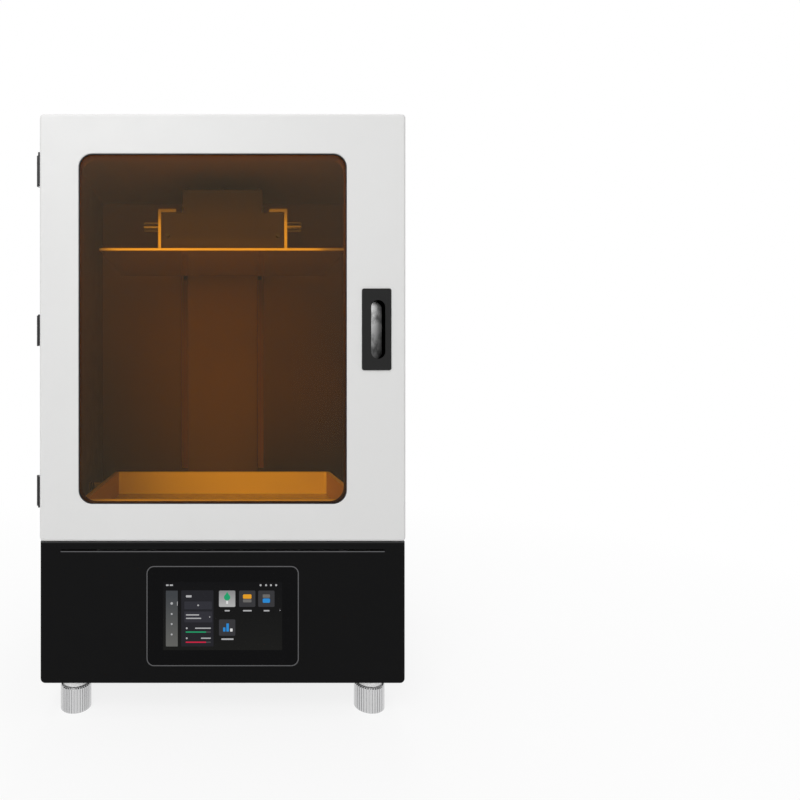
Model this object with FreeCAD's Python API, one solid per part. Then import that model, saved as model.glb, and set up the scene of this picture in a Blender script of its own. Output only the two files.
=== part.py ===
import FreeCAD, Part
import math
import os

# A large resin printer: levelling feet, a black base with the light engine and a touch screen,
# and a white cabinet with one hinged door over the vat, the build plate and the lift.
# Millimetres, +Z up, the front faces -Y. The origin is on the floor below the middle of the cabinet.

V = FreeCAD.Vector
X = V(1, 0, 0)
Y = V(0, 1, 0)
Z = V(0, 0, 1)

# Clearances
TURN_GAP = 0.3        # between a turning or sliding piece and the piece round it
PIN_PLAY = 0.05       # radial running clearance of a hinge pin
BEARING_PLAY = 0.1    # radial running clearance of the lift screw in its bearings
DROP_IN_GAP = 0.5     # round a plate that drops into a frame
PAST = 1.0            # how far a cut runs past the face that it opens

# Shapes used in several places
SLOT_ROUND = 0.45     # corner of an air slot as a share of its width
FLUTE_SHAPE = ((0.0, 0.0), (0.5, 0.0), (0.62, 1.0), (0.88, 1.0))  # share of a flute, share of its depth
SCREW_CHAMFER = 0.8   # ends of studs and rims of nuts

# Sheet metal
SHEET = 2.0           # cabinet sheet
FLANGE = 18.0         # turned-in edge at the front and the back of the cabinet
CABINET_CORNER = 6.0
TUB_WALL = 2.5
TUB_FLANGE = 14.0     # turned-in edge behind the rear panel of the base
TUB_CORNER = 7.0      # round between the sides and the underside of the base
TUB_EDGE = 3.0        # round at the edges of the front of the base
BASE_HEIGHT = 205.5
BASE_SETBACK = 4.0    # front of the base behind the front of the door

# Levelling feet
PAD_RADIUS = 17.0
PAD_HEIGHT = 5.0
PAD_SEAT = 4.2        # how far the pad sits in the foot
FOOT_RADIUS = 22.5
FOOT_HEIGHT = 37.3
FOOT_FLUTES = 36
FOOT_FLUTE_DEPTH = 1.4
FOOT_CHAMFER = 1.2
FOOT_INSET_X = 44.9   # foot centre from the side of the base
FOOT_INSET_Y = 32.0   # foot centre from the front and the back of the base
STUD_RADIUS = 6.0
STUD_IN_FOOT = 24.0
STUD_IN_BASE = 20.0
STOP_GAP = 0.4        # between the top of a foot and its nut
FOOT_NUT_RADIUS = 19.0
FOOT_NUT_HEIGHT = 12.0

# Deck and exposure screen
DECK_LIP = 2.0        # edge of the deck that lies on the rim of the base
DECK_THICK = 12.0
DECK_LEDGE = 1.0      # light opening inside the edge of the build plate
DECK_SCREW_ROOM = 2.0  # round the lift screw
LCD_MARGIN = 8.0      # screen beyond the build plate on each side
LCD_THICK = 5.8
LCD_GAP = 0.2         # below the release film
LIGHT_MARGIN = 3.0    # light box beyond the build plate on each side
LIGHT_WALL = 2.0
LIGHT_DEPTH = 110.0
LAMP_BOARD = 3.0
LAMP_RADIUS = 4.0
LAMP_HEIGHT = 3.0
LAMP_COLUMNS = 10
LAMP_ROWS = 6
SINK_PLATE = 6.0
SINK_HEIGHT = 40.0
SINK_FIN = 3.0
SINK_FINS = 25

# Vat
VAT_SIDE_ROOM = 12.0  # build plate to vat wall, left and right
VAT_END_ROOM = 35.0   # build plate to vat wall, front and back
VAT_WALL = 8.0
VAT_HEIGHT = 45.0
VAT_CORNER = 10.0
RING_THICK = 3.0
FILM_THICK = 0.5
EAR_WIDTH = 20.0      # lugs for the thumb screws beside the vat
EAR_LENGTH = 76.0
EAR_HEIGHT = 26.0
EAR_ROOM = 9.5        # lug to chamber wall
VAT_PIN_RADIUS = 3.0
VAT_PIN_PITCH = 52.0
VAT_PIN_RISE = 12.0
VAT_SCREW_RADIUS = 4.0
VAT_SCREW_HEAD = 10.0
VAT_SCREW_ROOM = 1.0  # head of a thumb screw to vat wall
VAT_SCREW_HEAD_HEIGHT = 22.0
VAT_SCREW_BITE = 9.0
VAT_SCREW_FLUTES = 20
KNOB_FLUTE_DEPTH = 0.8
KNOB_CHAMFER = 1.2
VAT_FRONT_ROOM = 36.0
VAT_BACK_ROOM = 11.0

# Build plate, hanger and arm
PLATE_WIDTH = 406.0
PLATE_DEPTH = 226.0
PLATE_THICK = 4.0
PLATE_CORNER = 3.0
PLATE_PARK = 445.5    # underside of the parked plate above the release film
FILM_GAP = 0.5        # between the lowered plate and the release film
HANGER_WIDTH = 224.0
HANGER_DEPTH = 110.0
HANGER_HEIGHT = 81.5
HANGER_WALL = 5.0
HANGER_HOOK = 31.0    # turned-in top edges, with the wall
HANGER_ROUND = 2.0
HEAD_MARGIN = 4.0     # head block behind the edges of the hanger
HEAD_ROUND = 1.5
CLAMP_RADIUS = 8.3
CLAMP_LENGTH = 31.0
CLAMP_FLUTES = 16
CLAMP_STEM = 4.0
CLAMP_DROP = 17.0     # clamp knob below the top of the hanger
ARM_WIDTH = 139.0
ARM_HEIGHT = 39.0
ARM_ROUND = 2.0
ARM_RIB = 12.0        # beside each well in the top of the arm
ARM_END = 14.0        # before and behind the wells
ARM_FLOOR = 13.0      # under the wells
ARM_WELL_CORNER = 6.0
HEAD_SCREW_RADIUS = 3.5
HEAD_SCREW_HEAD = 5.0
HEAD_SCREW_INSET = 10.7  # screw middle from the side of the head block

# Lift
CARRIAGE_WIDTH = 168.0
CARRIAGE_PLATE = 10.0
CARRIAGE_ROOM = 28.5  # chamber back wall to carriage plate
CARRIAGE_MARGIN = 4.3
CARRIAGE_LOW_ROOM = 12.0
CHEEK_THICK = 8.0
CHEEK_GAP = 4.0       # side of the raised channel to a cheek
CHEEK_LOW_ROOM = 8.0  # lowered cheeks above the rim of the vat
FACE_ROOM = 24.0
SLOT_ROOM = 2.0       # round the cheeks in the slots of the chamber back wall
LIFT_ROOM = 30.0      # travel above the parked place
CEILING_ROOM = 7.0
DRIVE_STACK = 28.0    # carriage plate to column
COLUMN_WIDTH = 140.0
COLUMN_THICK = 12.0
RAIL_SIZE = 15.0
RAIL_PITCH = 90.0
RAIL_END = 9.0
RAIL_GROOVE_DEPTH = 1.5
RAIL_GROOVE_WIDTH = 4.0
BLOCK_WIDTH = 34.0
BLOCK_LENGTH = 50.0
BLOCK_LIFT = 3.5
SCREW_RADIUS = 8.0
SCREW_OFFSET = 13.0   # screw axis behind the carriage plate
NUT_WIDTH = 44.0
NUT_LENGTH = 48.0
NUT_DROP = 22.0
BEARING_WIDTH = 48.0
BEARING_HEIGHT = 20.0
BEARING_GAP = 2.0
MOTOR_SIZE = 57.0
MOTOR_LENGTH = 76.0
MOTOR_CORNER = 5.0
MOTOR_BITE = 12.0     # screw end inside the motor
REAR_ROOM = 6.0       # column to cabinet back cover

# Chamber
LINER = 1.5
LINER_STANDOFF = 10.4
CHAMBER_BACK = 1.5
CHANNEL_WIDTH = 144.0  # raised middle of the back wall
CHANNEL_DEPTH = 7.0

# Door
DOOR_THICK = 30.0
DOOR_GAP = 3.0        # door to cabinet front
DOOR_FOOT_GAP = 1.0
DOOR_SKIN = 2.5
DOOR_PANEL = 2.0
DOOR_CORNER = 6.0
DOOR_EDGE = 4.0
WINDOW_HINGE_MARGIN = 57.0
WINDOW_HANDLE_MARGIN = 85.8
WINDOW_TOP_MARGIN = 58.4
WINDOW_FOOT_MARGIN = 54.4
WINDOW_CORNER = 20.0
WINDOW_RECESS = 4.0
WINDOW_THICK = 5.0
WINDOW_LAP = 10.0
WINDOW_EDGE = 1.2
TRIM = 1.2
RIM_WALL = 8.0
SEAL_WIDTH = 7.0
SEAL_INSET = 10.0     # seal from the door's edge
SEAL_CORNER = 2.0
STRIKE_WIDTH = 6.0
STRIKE_HEIGHT = 40.0
STRIKE_THICK = 1.2
CATCH_PITCH = 300.0
MAGNET_DEPTH = 10.0
HANDLE_WIDTH = 42.6
HANDLE_HEIGHT = 118.6
HANDLE_PROUD = 2.0
HANDLE_DROP = 1.0     # handle middle below the middle of the window
HANDLE_CORNER = 3.0
HANDLE_EDGE = 0.8
HANDLE_DEPTH = 21.0
HANDLE_WALL = 3.0
HANDLE_BOTTOM = 2.0
FINGER_WIDTH = 20.7
FINGER_HEIGHT = 85.3
FINGER_SHIFT = 2.2    # finger slot right of the bezel's middle

# Hinges
HINGE_HEIGHT = 45.0
HINGE_TOP_INSET = 77.5  # middle of the top hinge from the door's top
HINGE_FOOT_INSET = 71.0  # middle of the lowest hinge from the door's foot
HINGE_OUT = 0.3       # knuckles clear of the cabinet side
HINGE_BACK = 21.0     # axis behind the front of the door
KNUCKLE_RADIUS = 4.7
HINGE_PIN_RADIUS = 2.2
LEAF_THICK = 3.0
LEAF_LENGTH = 28.0
LEAF_SETBACK = 1.0    # cabinet leaf behind the front of the cabinet

# Touch screen
SCREEN_WIDTH = 222.0
SCREEN_HEIGHT = 146.0
SCREEN_CORNER = 11.0
SCREEN_DROP = 3.8     # screen middle below the middle of the base
SCREEN_FRAME = 1.4
SCREEN_PROUD = 0.6
SCREEN_LAP = 5.0
SCREEN_GLASS = 3.0
DISPLAY_WIDTH = 186.0
DISPLAY_HEIGHT = 113.0
DISPLAY_THICK = 8.0

# Air slots
INTAKE_HEIGHT = 2.4
INTAKE_DROP = 10.7
INTAKE_END = 30.0
SIDE_SLOT_WIDTH = 5.0
SIDE_SLOT_HEIGHT = 70.0
SIDE_SLOT_PITCH = 13.0
SIDE_SLOTS = 7
COVER_SLOT_LENGTH = 70.0
COVER_SLOT_PITCH = 14.0
COVER_SLOTS = 8
COVER_SLOT_DROP = 42.0  # first slot below the ceiling

# Rear of the base
FAN_SIZE = 80.0
FAN_DEPTH = 25.0
FAN_BORE = 38.0
FAN_WALL = 1.5        # least wall round the bore of the fan
FAN_HUB = 17.0
FAN_BLADES = 7
FAN_INSET = 135.0     # fan middle from the side of the base
FAN_CORNER = 4.0
STRUT_THICK = 3.0
STRUT_WIDTH = 4.0
ROTOR_GAP = 1.0       # rotor to struts
ROTOR_BACK_GAP = 3.0  # rotor to rear panel
BLADE_WIDTH = 20.0
BLADE_THICK = 1.6
BLADE_TWIST = 35.0    # degrees
FAN_TIP_GAP = 1.5
GRILLE_PITCH = 10.0
GRILLE_SLOT = 6.0
INLET_WIDTH = 50.0
INLET_HEIGHT = 62.0
INLET_FLANGE = 2.5
INLET_DEPTH = 26.0
INLET_LIP = 4.0
INLET_CORNER = 3.0
INLET_INSET = 100.0   # inlet middle from the side of the base
SOCKET_WIDTH = 25.0
SOCKET_HEIGHT = 17.0
SOCKET_DEPTH = 16.0
SOCKET_CORNER = 2.0
SOCKET_DROP = 15.0
PRONG_LENGTH = 12.0
PRONG_WIDTH = 2.0
PRONG_HEIGHT = 4.0
PRONG_PITCH = 7.0
PRONG_RISE = 2.7      # middle prong above the outer ones
ROCKER_WIDTH = 20.0
ROCKER_HEIGHT = 14.0
ROCKER_DEPTH = 12.0
ROCKER_RISE = 15.0
ROCKER_TILT = 8.0     # degrees from level, lower half pressed
ROCKER_FACE = 5.0     # pivot to the two tips
ROCKER_DISH = 1.25    # middle of the face behind the tips
ROCKER_HEEL = 3.0     # pivot to the back of the rocker
ROCKER_HEEL_HEIGHT = 5.0
ROCKER_END_GAP = 1.3
DATA_INSET = 170.0    # data socket middle from the side of the base
DATA_WIDTH = 15.0
DATA_HEIGHT = 8.0
DATA_DEPTH = 18.0
DATA_WALL = 0.8
DATA_TONGUE = 2.0
DATA_TONGUE_SETBACK = 2.0

# Boards in the base
SUPPLY_ROOM = 6.0
SUPPLY_LENGTH = 215.0
SUPPLY_HEIGHT = 115.0
SUPPLY_SHEET = 1.2
BOARD_LENGTH = 190.0
BOARD_HEIGHT = 110.0
BOARD_THICK = 1.6
BOARD_STANDOFF = 15.0
STANDOFF_RADIUS = 3.0
STANDOFF_INSET = 8.0
CHIP_LENGTH = 32.0
CHIP_HEIGHT = 28.0
CHIP_THICK = 6.0
CHIP_PLACES = ((-0.3, 0.18), (0.0, -0.14), (0.3, 0.18))  # shares of the board from its middle

# Cover screws
COVER_SCREW_RADIUS = 2.0
COVER_SCREW_HEAD = 4.0
COVER_SCREW_PROUD = 2.0
COVER_SCREW_LENGTH = 8.0
COVER_SCREW_ROWS = 4

# Heights, from the floor up
foot_bottom = PAD_HEIGHT - PAD_SEAT
foot_top = foot_bottom + FOOT_HEIGHT
base_bottom = foot_top + STOP_GAP + FOOT_NUT_HEIGHT
tub_floor = base_bottom + TUB_WALL
base_top = base_bottom + BASE_HEIGHT
deck_top = base_top + DECK_LIP
deck_bottom = deck_top - DECK_THICK
film_bottom = deck_top + RING_THICK
film_top = film_bottom + FILM_THICK
lcd_top = film_bottom - LCD_GAP
lcd_bottom = lcd_top - LCD_THICK
board_top = deck_bottom - LIGHT_DEPTH
board_bottom = board_top - LAMP_BOARD
vat_rim = film_top + VAT_HEIGHT
ear_top = film_top + EAR_HEIGHT
plate_bottom = film_top + PLATE_PARK
plate_top = plate_bottom + PLATE_THICK
plate_travel = PLATE_PARK - FILM_GAP
hanger_top = plate_top + HANGER_HEIGHT
head_bottom = plate_top + HANGER_WALL + TURN_GAP
head_top = hanger_top - HANGER_WALL - TURN_GAP
arm_top = head_top + ARM_HEIGHT
clamp_z = hanger_top - CLAMP_DROP
carriage_top = arm_top + CARRIAGE_MARGIN
carriage_bottom = deck_top + CARRIAGE_LOW_ROOM + plate_travel
cheek_bottom = vat_rim + CHEEK_LOW_ROOM + plate_travel
ceiling = carriage_top + LIFT_ROOM + CEILING_ROOM
cabinet_top = ceiling + LINER + LINER_STANDOFF + SHEET
door_bottom = deck_top + DOOR_FOOT_GAP
door_top = cabinet_top
screen_z = (base_bottom + base_top) / 2 - SCREEN_DROP
rear_z = (base_bottom + base_top) / 2

# Half widths, from the middle out
vat_in_x = PLATE_WIDTH / 2 + VAT_SIDE_ROOM
vat_out_x = vat_in_x + VAT_WALL
ear_x = vat_out_x + VAT_SCREW_ROOM + VAT_SCREW_HEAD
chamber_x = vat_out_x + EAR_WIDTH + EAR_ROOM
liner_x = chamber_x + LINER
shell_in_x = liner_x + LINER_STANDOFF
half_width = shell_in_x + SHEET
tub_in_x = half_width - TUB_WALL
light_x = PLATE_WIDTH / 2 + LIGHT_MARGIN
carriage_x = CARRIAGE_WIDTH / 2
cheek_in_x = CHANNEL_WIDTH / 2 + CHEEK_GAP
cheek_out_x = cheek_in_x + CHEEK_THICK
head_x = HANGER_WIDTH / 2 - HANGER_WALL - TURN_GAP

# Depths, from the front back
vat_depth = PLATE_DEPTH + 2 * VAT_END_ROOM + 2 * VAT_WALL
depth_stack = (DOOR_THICK, DOOR_GAP, VAT_FRONT_ROOM, vat_depth, VAT_BACK_ROOM, CHAMBER_BACK, CARRIAGE_ROOM,
               CARRIAGE_PLATE, DRIVE_STACK, COLUMN_THICK, REAR_ROOM, SHEET)
back = sum(depth_stack) / 2
front = -back
door_back = front + DOOR_THICK
cabinet_front = door_back + DOOR_GAP
vat_front = cabinet_front + VAT_FRONT_ROOM
vat_back = vat_front + vat_depth
build_y = (vat_front + vat_back) / 2
wall_front = vat_back + VAT_BACK_ROOM
wall_back = wall_front + CHAMBER_BACK
carriage_front = wall_back + CARRIAGE_ROOM
carriage_back = carriage_front + CARRIAGE_PLATE
column_front = carriage_back + DRIVE_STACK
column_back = column_front + COLUMN_THICK
cover_inside = back - SHEET
face_back = wall_front - FACE_ROOM
face_front = face_back - CARRIAGE_PLATE
screw_y = carriage_back + SCREW_OFFSET
base_front = front + BASE_SETBACK
tub_in_front = base_front + TUB_WALL
panel_inside = back - TUB_WALL
tub_in_back = panel_inside - TUB_WALL
head_front = build_y - HANGER_DEPTH / 2 + HEAD_MARGIN
light_y = PLATE_DEPTH / 2 + LIGHT_MARGIN

# Places on the rear of the base
fan_x = half_width - FAN_INSET
inlet_x = INLET_INSET - half_width
data_x = DATA_INSET - half_width

# Window and handle
window_x = (-half_width + WINDOW_HINGE_MARGIN, half_width - WINDOW_HANDLE_MARGIN)
window_z = (door_bottom + WINDOW_FOOT_MARGIN, door_top - WINDOW_TOP_MARGIN)
window_back = front + WINDOW_RECESS + WINDOW_THICK
handle_x = half_width - WINDOW_HANDLE_MARGIN / 2
handle_z = sum(window_z) / 2 - HANDLE_DROP
finger_x = handle_x + FINGER_SHIFT
finger_bottom = front + HANDLE_DEPTH - HANDLE_BOTTOM

# Hinge places
hinge_x = -half_width - HINGE_OUT - KNUCKLE_RADIUS
hinge_y = front + HINGE_BACK
hinge_ends = (door_bottom + HINGE_FOOT_INSET, door_top - HINGE_TOP_INSET)
hinge_heights = (hinge_ends[0], sum(hinge_ends) / 2, hinge_ends[1])
knuckle_half = HINGE_HEIGHT / 6  # half the length of the middle knuckle

# Foot places, front left, front right, rear left, rear right
foot_x = half_width - FOOT_INSET_X
foot_places = {
    "front_left": (-foot_x, base_front + FOOT_INSET_Y),
    "front_right": (foot_x, base_front + FOOT_INSET_Y),
    "rear_left": (-foot_x, back - FOOT_INSET_Y),
    "rear_right": (foot_x, back - FOOT_INSET_Y),
}


def about(middle, size):
    """The two ends of a length about its middle."""
    return (middle - size / 2, middle + size / 2)


def wider(ends, by):
    """A pair of ends moved apart by the same amount at each end."""
    return (ends[0] - by, ends[1] + by)


def block(x, y, z):
    """A box between two ends in each direction."""
    return Part.makeBox(x[1] - x[0], y[1] - y[0], z[1] - z[0], V(x[0], y[0], z[0]))


def put(shape, at, axis):
    """A shape made along +Z, laid along an axis and moved to a place."""
    moved = shape.copy()
    moved.Placement = FreeCAD.Placement(at, FreeCAD.Rotation(Z, axis))
    return moved


def rod(radius, at, axis, length):
    """A plain cylinder from a point along an axis."""
    return Part.makeCylinder(radius, length, at, axis)


def straight_edges(shape, axis):
    """The straight edges of a shape that run along an axis."""
    lines = [e for e in shape.Edges if isinstance(e.Curve, Part.Line)]
    return [e for e in lines if e.tangentAt(e.FirstParameter).cross(axis).Length < 1e-6]


def rounded(x, y, z, axis, radius):
    """A box whose four edges along an axis are rounded."""
    box = block(x, y, z)
    return box.makeFillet(radius, straight_edges(box, axis))


def front_rounded(x, y, z, radius):
    """A box whose two upright front edges are rounded."""
    box = block(x, y, z)
    edges = [e for e in straight_edges(box, Z) if e.CenterOfMass.y < sum(y) / 2]
    return box.makeFillet(radius, edges)


def top_rounded(x, y, z, radius):
    """A box whose two upper edges from front to back are rounded."""
    box = block(x, y, z)
    edges = [e for e in straight_edges(box, Y) if e.CenterOfMass.z > sum(z) / 2]
    return box.makeFillet(radius, edges)


def soften_front(shape, y, radius):
    """Round the edges of a shape that lie at a front face."""
    edges = [e for e in shape.Edges if abs(e.BoundBox.YMin - y) < 1e-6 and abs(e.BoundBox.YMax - y) < 1e-6]
    return shape.makeFillet(radius, edges)


def turned(radius, height, chamfer):
    """An upright cylinder with both rims chamfered."""
    body = Part.makeCylinder(radius, height)
    rims = [e for e in body.Edges if isinstance(e.Curve, Part.Circle)]
    return body.makeChamfer(chamfer, rims)


def fluted(radius, height, flutes, depth, chamfer):
    """An upright grip with straight flutes round it and chamfered rims."""
    points = []
    for i in range(flutes):
        for share, inset in FLUTE_SHAPE:
            angle = 2 * math.pi * (i + share) / flutes
            reach = radius - inset * depth
            points.append(V(reach * math.cos(angle), reach * math.sin(angle), 0))
    outline = Part.Face(Part.makePolygon(points + points[:1]))
    return outline.extrude(V(0, 0, height)).common(turned(radius, height, chamfer))


def obround(x, z, width, height, y):
    """An upright slot shape with round ends, between two depths."""
    length = y[1] - y[0]
    radius = width / 2
    straight = block(about(x, width), y, about(z, height - width))
    ends = [rod(radius, V(x, y[0], z + side * (height - width) / 2), Y, length) for side in (-1, 1)]
    return straight.fuse(ends).removeSplitter()


def window_shape(grow, y):
    """The outline of the window, grown all round, between two depths."""
    return rounded(wider(window_x, grow), y, wider(window_z, grow), Y, WINDOW_CORNER + grow)


def screen_shape(grow, y):
    """The outline of the touch screen, grown all round, between two depths."""
    x = wider(about(0, SCREEN_WIDTH), grow)
    z = wider(about(screen_z, SCREEN_HEIGHT), grow)
    return rounded(x, y, z, Y, SCREEN_CORNER + grow)


def group(shapes):
    """Several like solids kept as one piece of the list."""
    return Part.makeCompound(shapes)


def foot(x, y):
    """A knurled foot with its stud pressed in and its rubber pad below."""
    grip = fluted(FOOT_RADIUS, FOOT_HEIGHT, FOOT_FLUTES, FOOT_FLUTE_DEPTH, FOOT_CHAMFER)
    grip = put(grip, V(x, y, foot_bottom), Z)
    seat = rod(PAD_RADIUS, V(x, y, foot_bottom), Z, PAD_SEAT)
    stud_bottom = foot_top - STUD_IN_FOOT
    stud_top = tub_floor + STUD_IN_BASE
    bore = rod(STUD_RADIUS, V(x, y, stud_bottom), Z, STUD_IN_FOOT)
    stud = put(turned(STUD_RADIUS, stud_top - stud_bottom, SCREW_CHAMFER), V(x, y, stud_bottom), Z)
    stud = stud.fuse(bore).removeSplitter()
    pad = rod(PAD_RADIUS, V(x, y, 0), Z, PAD_HEIGHT)
    return group([grip.cut([seat, bore]), stud, pad])


def foot_nuts():
    """The four round nuts under the base that the studs screw through."""
    nut = turned(FOOT_NUT_RADIUS, FOOT_NUT_HEIGHT, SCREW_CHAMFER)
    nut = nut.cut(Part.makeCylinder(STUD_RADIUS + TURN_GAP, FOOT_NUT_HEIGHT))
    return group([put(nut, V(x, y, foot_top + STOP_GAP), Z) for x, y in foot_places.values()])


def tub_body(x, y, z, corner, edge):
    """A block with two rounded lower edges and a front softened at its sides and foot."""
    box = block((-x, x), y, z)
    lower = [e for e in straight_edges(box, Y) if e.CenterOfMass.z < sum(z) / 2]
    body = box.makeFillet(corner, lower)
    rim = [e for e in body.Edges if e.BoundBox.YMax - y[0] < 1e-6 and e.BoundBox.ZMin < z[1] - 1e-6]
    return body.makeFillet(edge, rim)


def side_slots():
    """The upright air slots in both sides of the base, near the back."""
    first = back - FOOT_INSET_Y - SIDE_SLOTS * SIDE_SLOT_PITCH
    slots = []
    for i in range(SIDE_SLOTS):
        y = first + i * SIDE_SLOT_PITCH
        slots.append(rounded((-half_width - PAST, half_width + PAST), about(y, SIDE_SLOT_WIDTH),
                             about(rear_z, SIDE_SLOT_HEIGHT), X, SIDE_SLOT_WIDTH * SLOT_ROUND))
    return slots


def base_tub():
    """The black base: front, sides and underside in one."""
    body = tub_body(half_width, (base_front, back), (base_bottom, base_top), TUB_CORNER, TUB_EDGE)
    hollow = tub_body(tub_in_x, (tub_in_front, tub_in_back), (tub_floor, base_top + TUB_CORNER),
                      TUB_CORNER - TUB_WALL, TUB_EDGE - TUB_WALL)
    seat = block((-tub_in_x, tub_in_x), (panel_inside, back + PAST), (tub_floor, base_top + PAST))
    doorway = block((TUB_FLANGE - tub_in_x, tub_in_x - TUB_FLANGE), (tub_in_back - TUB_CORNER, back),
                    (tub_floor + TUB_FLANGE, base_top + PAST))
    intake_z = base_top - INTAKE_DROP
    through = (base_front - PAST, tub_in_front + PAST)
    intake = rounded((INTAKE_END - half_width, half_width - INTAKE_END), through,
                     about(intake_z, INTAKE_HEIGHT), Y, INTAKE_HEIGHT * SLOT_ROUND)
    screen = screen_shape(0, through)
    studs = [rod(STUD_RADIUS + TURN_GAP, V(x, y, base_bottom - PAST), Z, TUB_WALL + 2 * PAST)
             for x, y in foot_places.values()]
    screws = cover_screw_holes(base_screw_places())
    return body.cut([hollow, seat, doorway, intake, screen] + side_slots() + studs + screws)


def base_screw_places():
    """The places of the screws in the rear panel of the base."""
    x = tub_in_x - TUB_FLANGE / 2
    heights = (tub_floor + TUB_FLANGE, base_top - TUB_FLANGE)
    return [(side * x, z) for side in (-1, 1) for z in heights]


def cabinet_screw_places():
    """The places of the screws round the back cover of the cabinet."""
    x = half_width - FLANGE / 2
    low = deck_top + FLANGE
    step = (cabinet_top - FLANGE / 2 - low) / (COVER_SCREW_ROWS - 1)
    return [(side * x, low + i * step) for side in (-1, 1) for i in range(COVER_SCREW_ROWS)]


def cover_screw_holes(places):
    """Holes for the cover screws, through the sheets at the back."""
    start = back - COVER_SCREW_LENGTH - PAST
    return [rod(COVER_SCREW_RADIUS, V(x, start, z), Y, back - start + PAST) for x, z in places]


def cover_screws():
    """The round-headed screws in the rear panels."""
    screws = []
    for x, z in base_screw_places() + cabinet_screw_places():
        shank = rod(COVER_SCREW_RADIUS, V(x, back - COVER_SCREW_LENGTH, z), Y, COVER_SCREW_LENGTH)
        head = rod(COVER_SCREW_HEAD, V(x, back, z), Y, COVER_SCREW_PROUD)
        screws.append(head.fuse(shank))
    return group(screws)


def grille():
    """The rows of slots in front of the fan, cut to its round bore."""
    slots = []
    rows = int(FAN_BORE // GRILLE_PITCH)
    for i in range(-rows, rows + 1):
        half = math.sqrt(FAN_BORE ** 2 - (i * GRILLE_PITCH) ** 2)
        if half > GRILLE_SLOT:
            slots.append(rounded(about(fan_x, 2 * half), (panel_inside - PAST, back + PAST),
                                 about(rear_z + i * GRILLE_PITCH, GRILLE_SLOT), Y, GRILLE_SLOT * SLOT_ROUND))
    return slots


def base_rear_panel():
    """The panel that closes the back of the base."""
    panel = block((-tub_in_x, tub_in_x), (panel_inside, back), (tub_floor, base_top))
    inlet = block(about(inlet_x, INLET_WIDTH - 2 * INLET_LIP), (panel_inside - PAST, back + PAST),
                  about(rear_z, INLET_HEIGHT - 2 * INLET_LIP))
    data = block(about(data_x, DATA_WIDTH), (panel_inside - PAST, back + PAST), about(rear_z, DATA_HEIGHT))
    return panel.cut([inlet, data] + grille() + cover_screw_holes(base_screw_places()))


def power_inlet():
    """The mains inlet with its three prongs and the frame of the rocker switch."""
    flange = rounded(about(inlet_x, INLET_WIDTH), (back, back + INLET_FLANGE), about(rear_z, INLET_HEIGHT),
                     Y, INLET_CORNER)
    body = block(about(inlet_x, INLET_WIDTH - 2 * INLET_LIP), (back - INLET_DEPTH, back),
                 about(rear_z, INLET_HEIGHT - 2 * INLET_LIP))
    face = back + INLET_FLANGE
    socket_z = rear_z - SOCKET_DROP
    socket = rounded(about(inlet_x, SOCKET_WIDTH), (face - SOCKET_DEPTH, face + PAST),
                     about(socket_z, SOCKET_HEIGHT), Y, SOCKET_CORNER)
    rocker = block(about(inlet_x, ROCKER_WIDTH), (face - ROCKER_DEPTH, face + PAST),
                   about(rear_z + ROCKER_RISE, ROCKER_HEIGHT))
    case = flange.fuse(body).removeSplitter().cut([socket, rocker])
    prongs = []
    prong_y = (face - SOCKET_DEPTH, face - SOCKET_DEPTH + PRONG_LENGTH)
    for side in (-1, 0, 1):
        x = inlet_x + side * PRONG_PITCH
        z = socket_z + (1 - abs(side)) * PRONG_RISE
        prongs.append(block(about(x, PRONG_WIDTH), prong_y, about(z, PRONG_HEIGHT)))
    return group([case] + prongs)


def power_rocker():
    """The rocker of the mains switch, with its two sloped halves."""
    pivot_y = back + INLET_FLANGE - ROCKER_DEPTH / 2
    z = rear_z + ROCKER_RISE
    half = ROCKER_HEIGHT / 2 - ROCKER_END_GAP
    heel = ROCKER_HEEL_HEIGHT / 2
    middle = ROCKER_FACE - ROCKER_DISH
    outline = [(-ROCKER_HEEL, -heel), (-ROCKER_HEEL, heel), (ROCKER_FACE, half), (middle, 0), (ROCKER_FACE, -half)]
    points = [V(inlet_x - ROCKER_WIDTH / 2 + TURN_GAP, pivot_y + a, z + b) for a, b in outline]
    rocker = Part.Face(Part.makePolygon(points + points[:1])).extrude(V(ROCKER_WIDTH - 2 * TURN_GAP, 0, 0))
    rocker.rotate(V(inlet_x, pivot_y, z), X, ROCKER_TILT)
    return rocker


def data_socket():
    """The data socket: a metal sleeve with a tongue inside."""
    sleeve = block(about(data_x, DATA_WIDTH), (back - DATA_DEPTH, back), about(rear_z, DATA_HEIGHT))
    inside = block(wider(about(data_x, DATA_WIDTH), -DATA_WALL), (back - DATA_DEPTH + DATA_WALL, back + PAST),
                   wider(about(rear_z, DATA_HEIGHT), -DATA_WALL))
    roof = rear_z + DATA_HEIGHT / 2 - 2 * DATA_WALL
    tongue = block(about(data_x, DATA_WIDTH - 4 * DATA_WALL),
                   (back - DATA_DEPTH + DATA_WALL, back - DATA_TONGUE_SETBACK), (roof - DATA_TONGUE, roof))
    return group([sleeve.cut(inside), tongue])


def fan_frame():
    """The square frame of the rear fan with its four inner struts."""
    y = (panel_inside - FAN_DEPTH, panel_inside)
    frame = rounded(about(fan_x, FAN_SIZE), y, about(rear_z, FAN_SIZE), Y, FAN_CORNER)
    frame = frame.fuse(rod(FAN_BORE + FAN_WALL, V(fan_x, y[0], rear_z), Y, FAN_DEPTH)).removeSplitter()
    frame = frame.cut(rod(FAN_BORE, V(fan_x, y[0] - PAST, rear_z), Y, FAN_DEPTH + 2 * PAST))
    strut_y = (y[0], y[0] + STRUT_THICK)
    strut_length = 2 * FAN_BORE + PAST
    struts = [block(about(fan_x, strut_length), strut_y, about(rear_z, STRUT_WIDTH)),
              block(about(fan_x, STRUT_WIDTH), strut_y, about(rear_z, strut_length)),
              rod(FAN_HUB, V(fan_x, strut_y[0], rear_z), Y, STRUT_THICK)]
    return frame.fuse(struts).removeSplitter()


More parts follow.
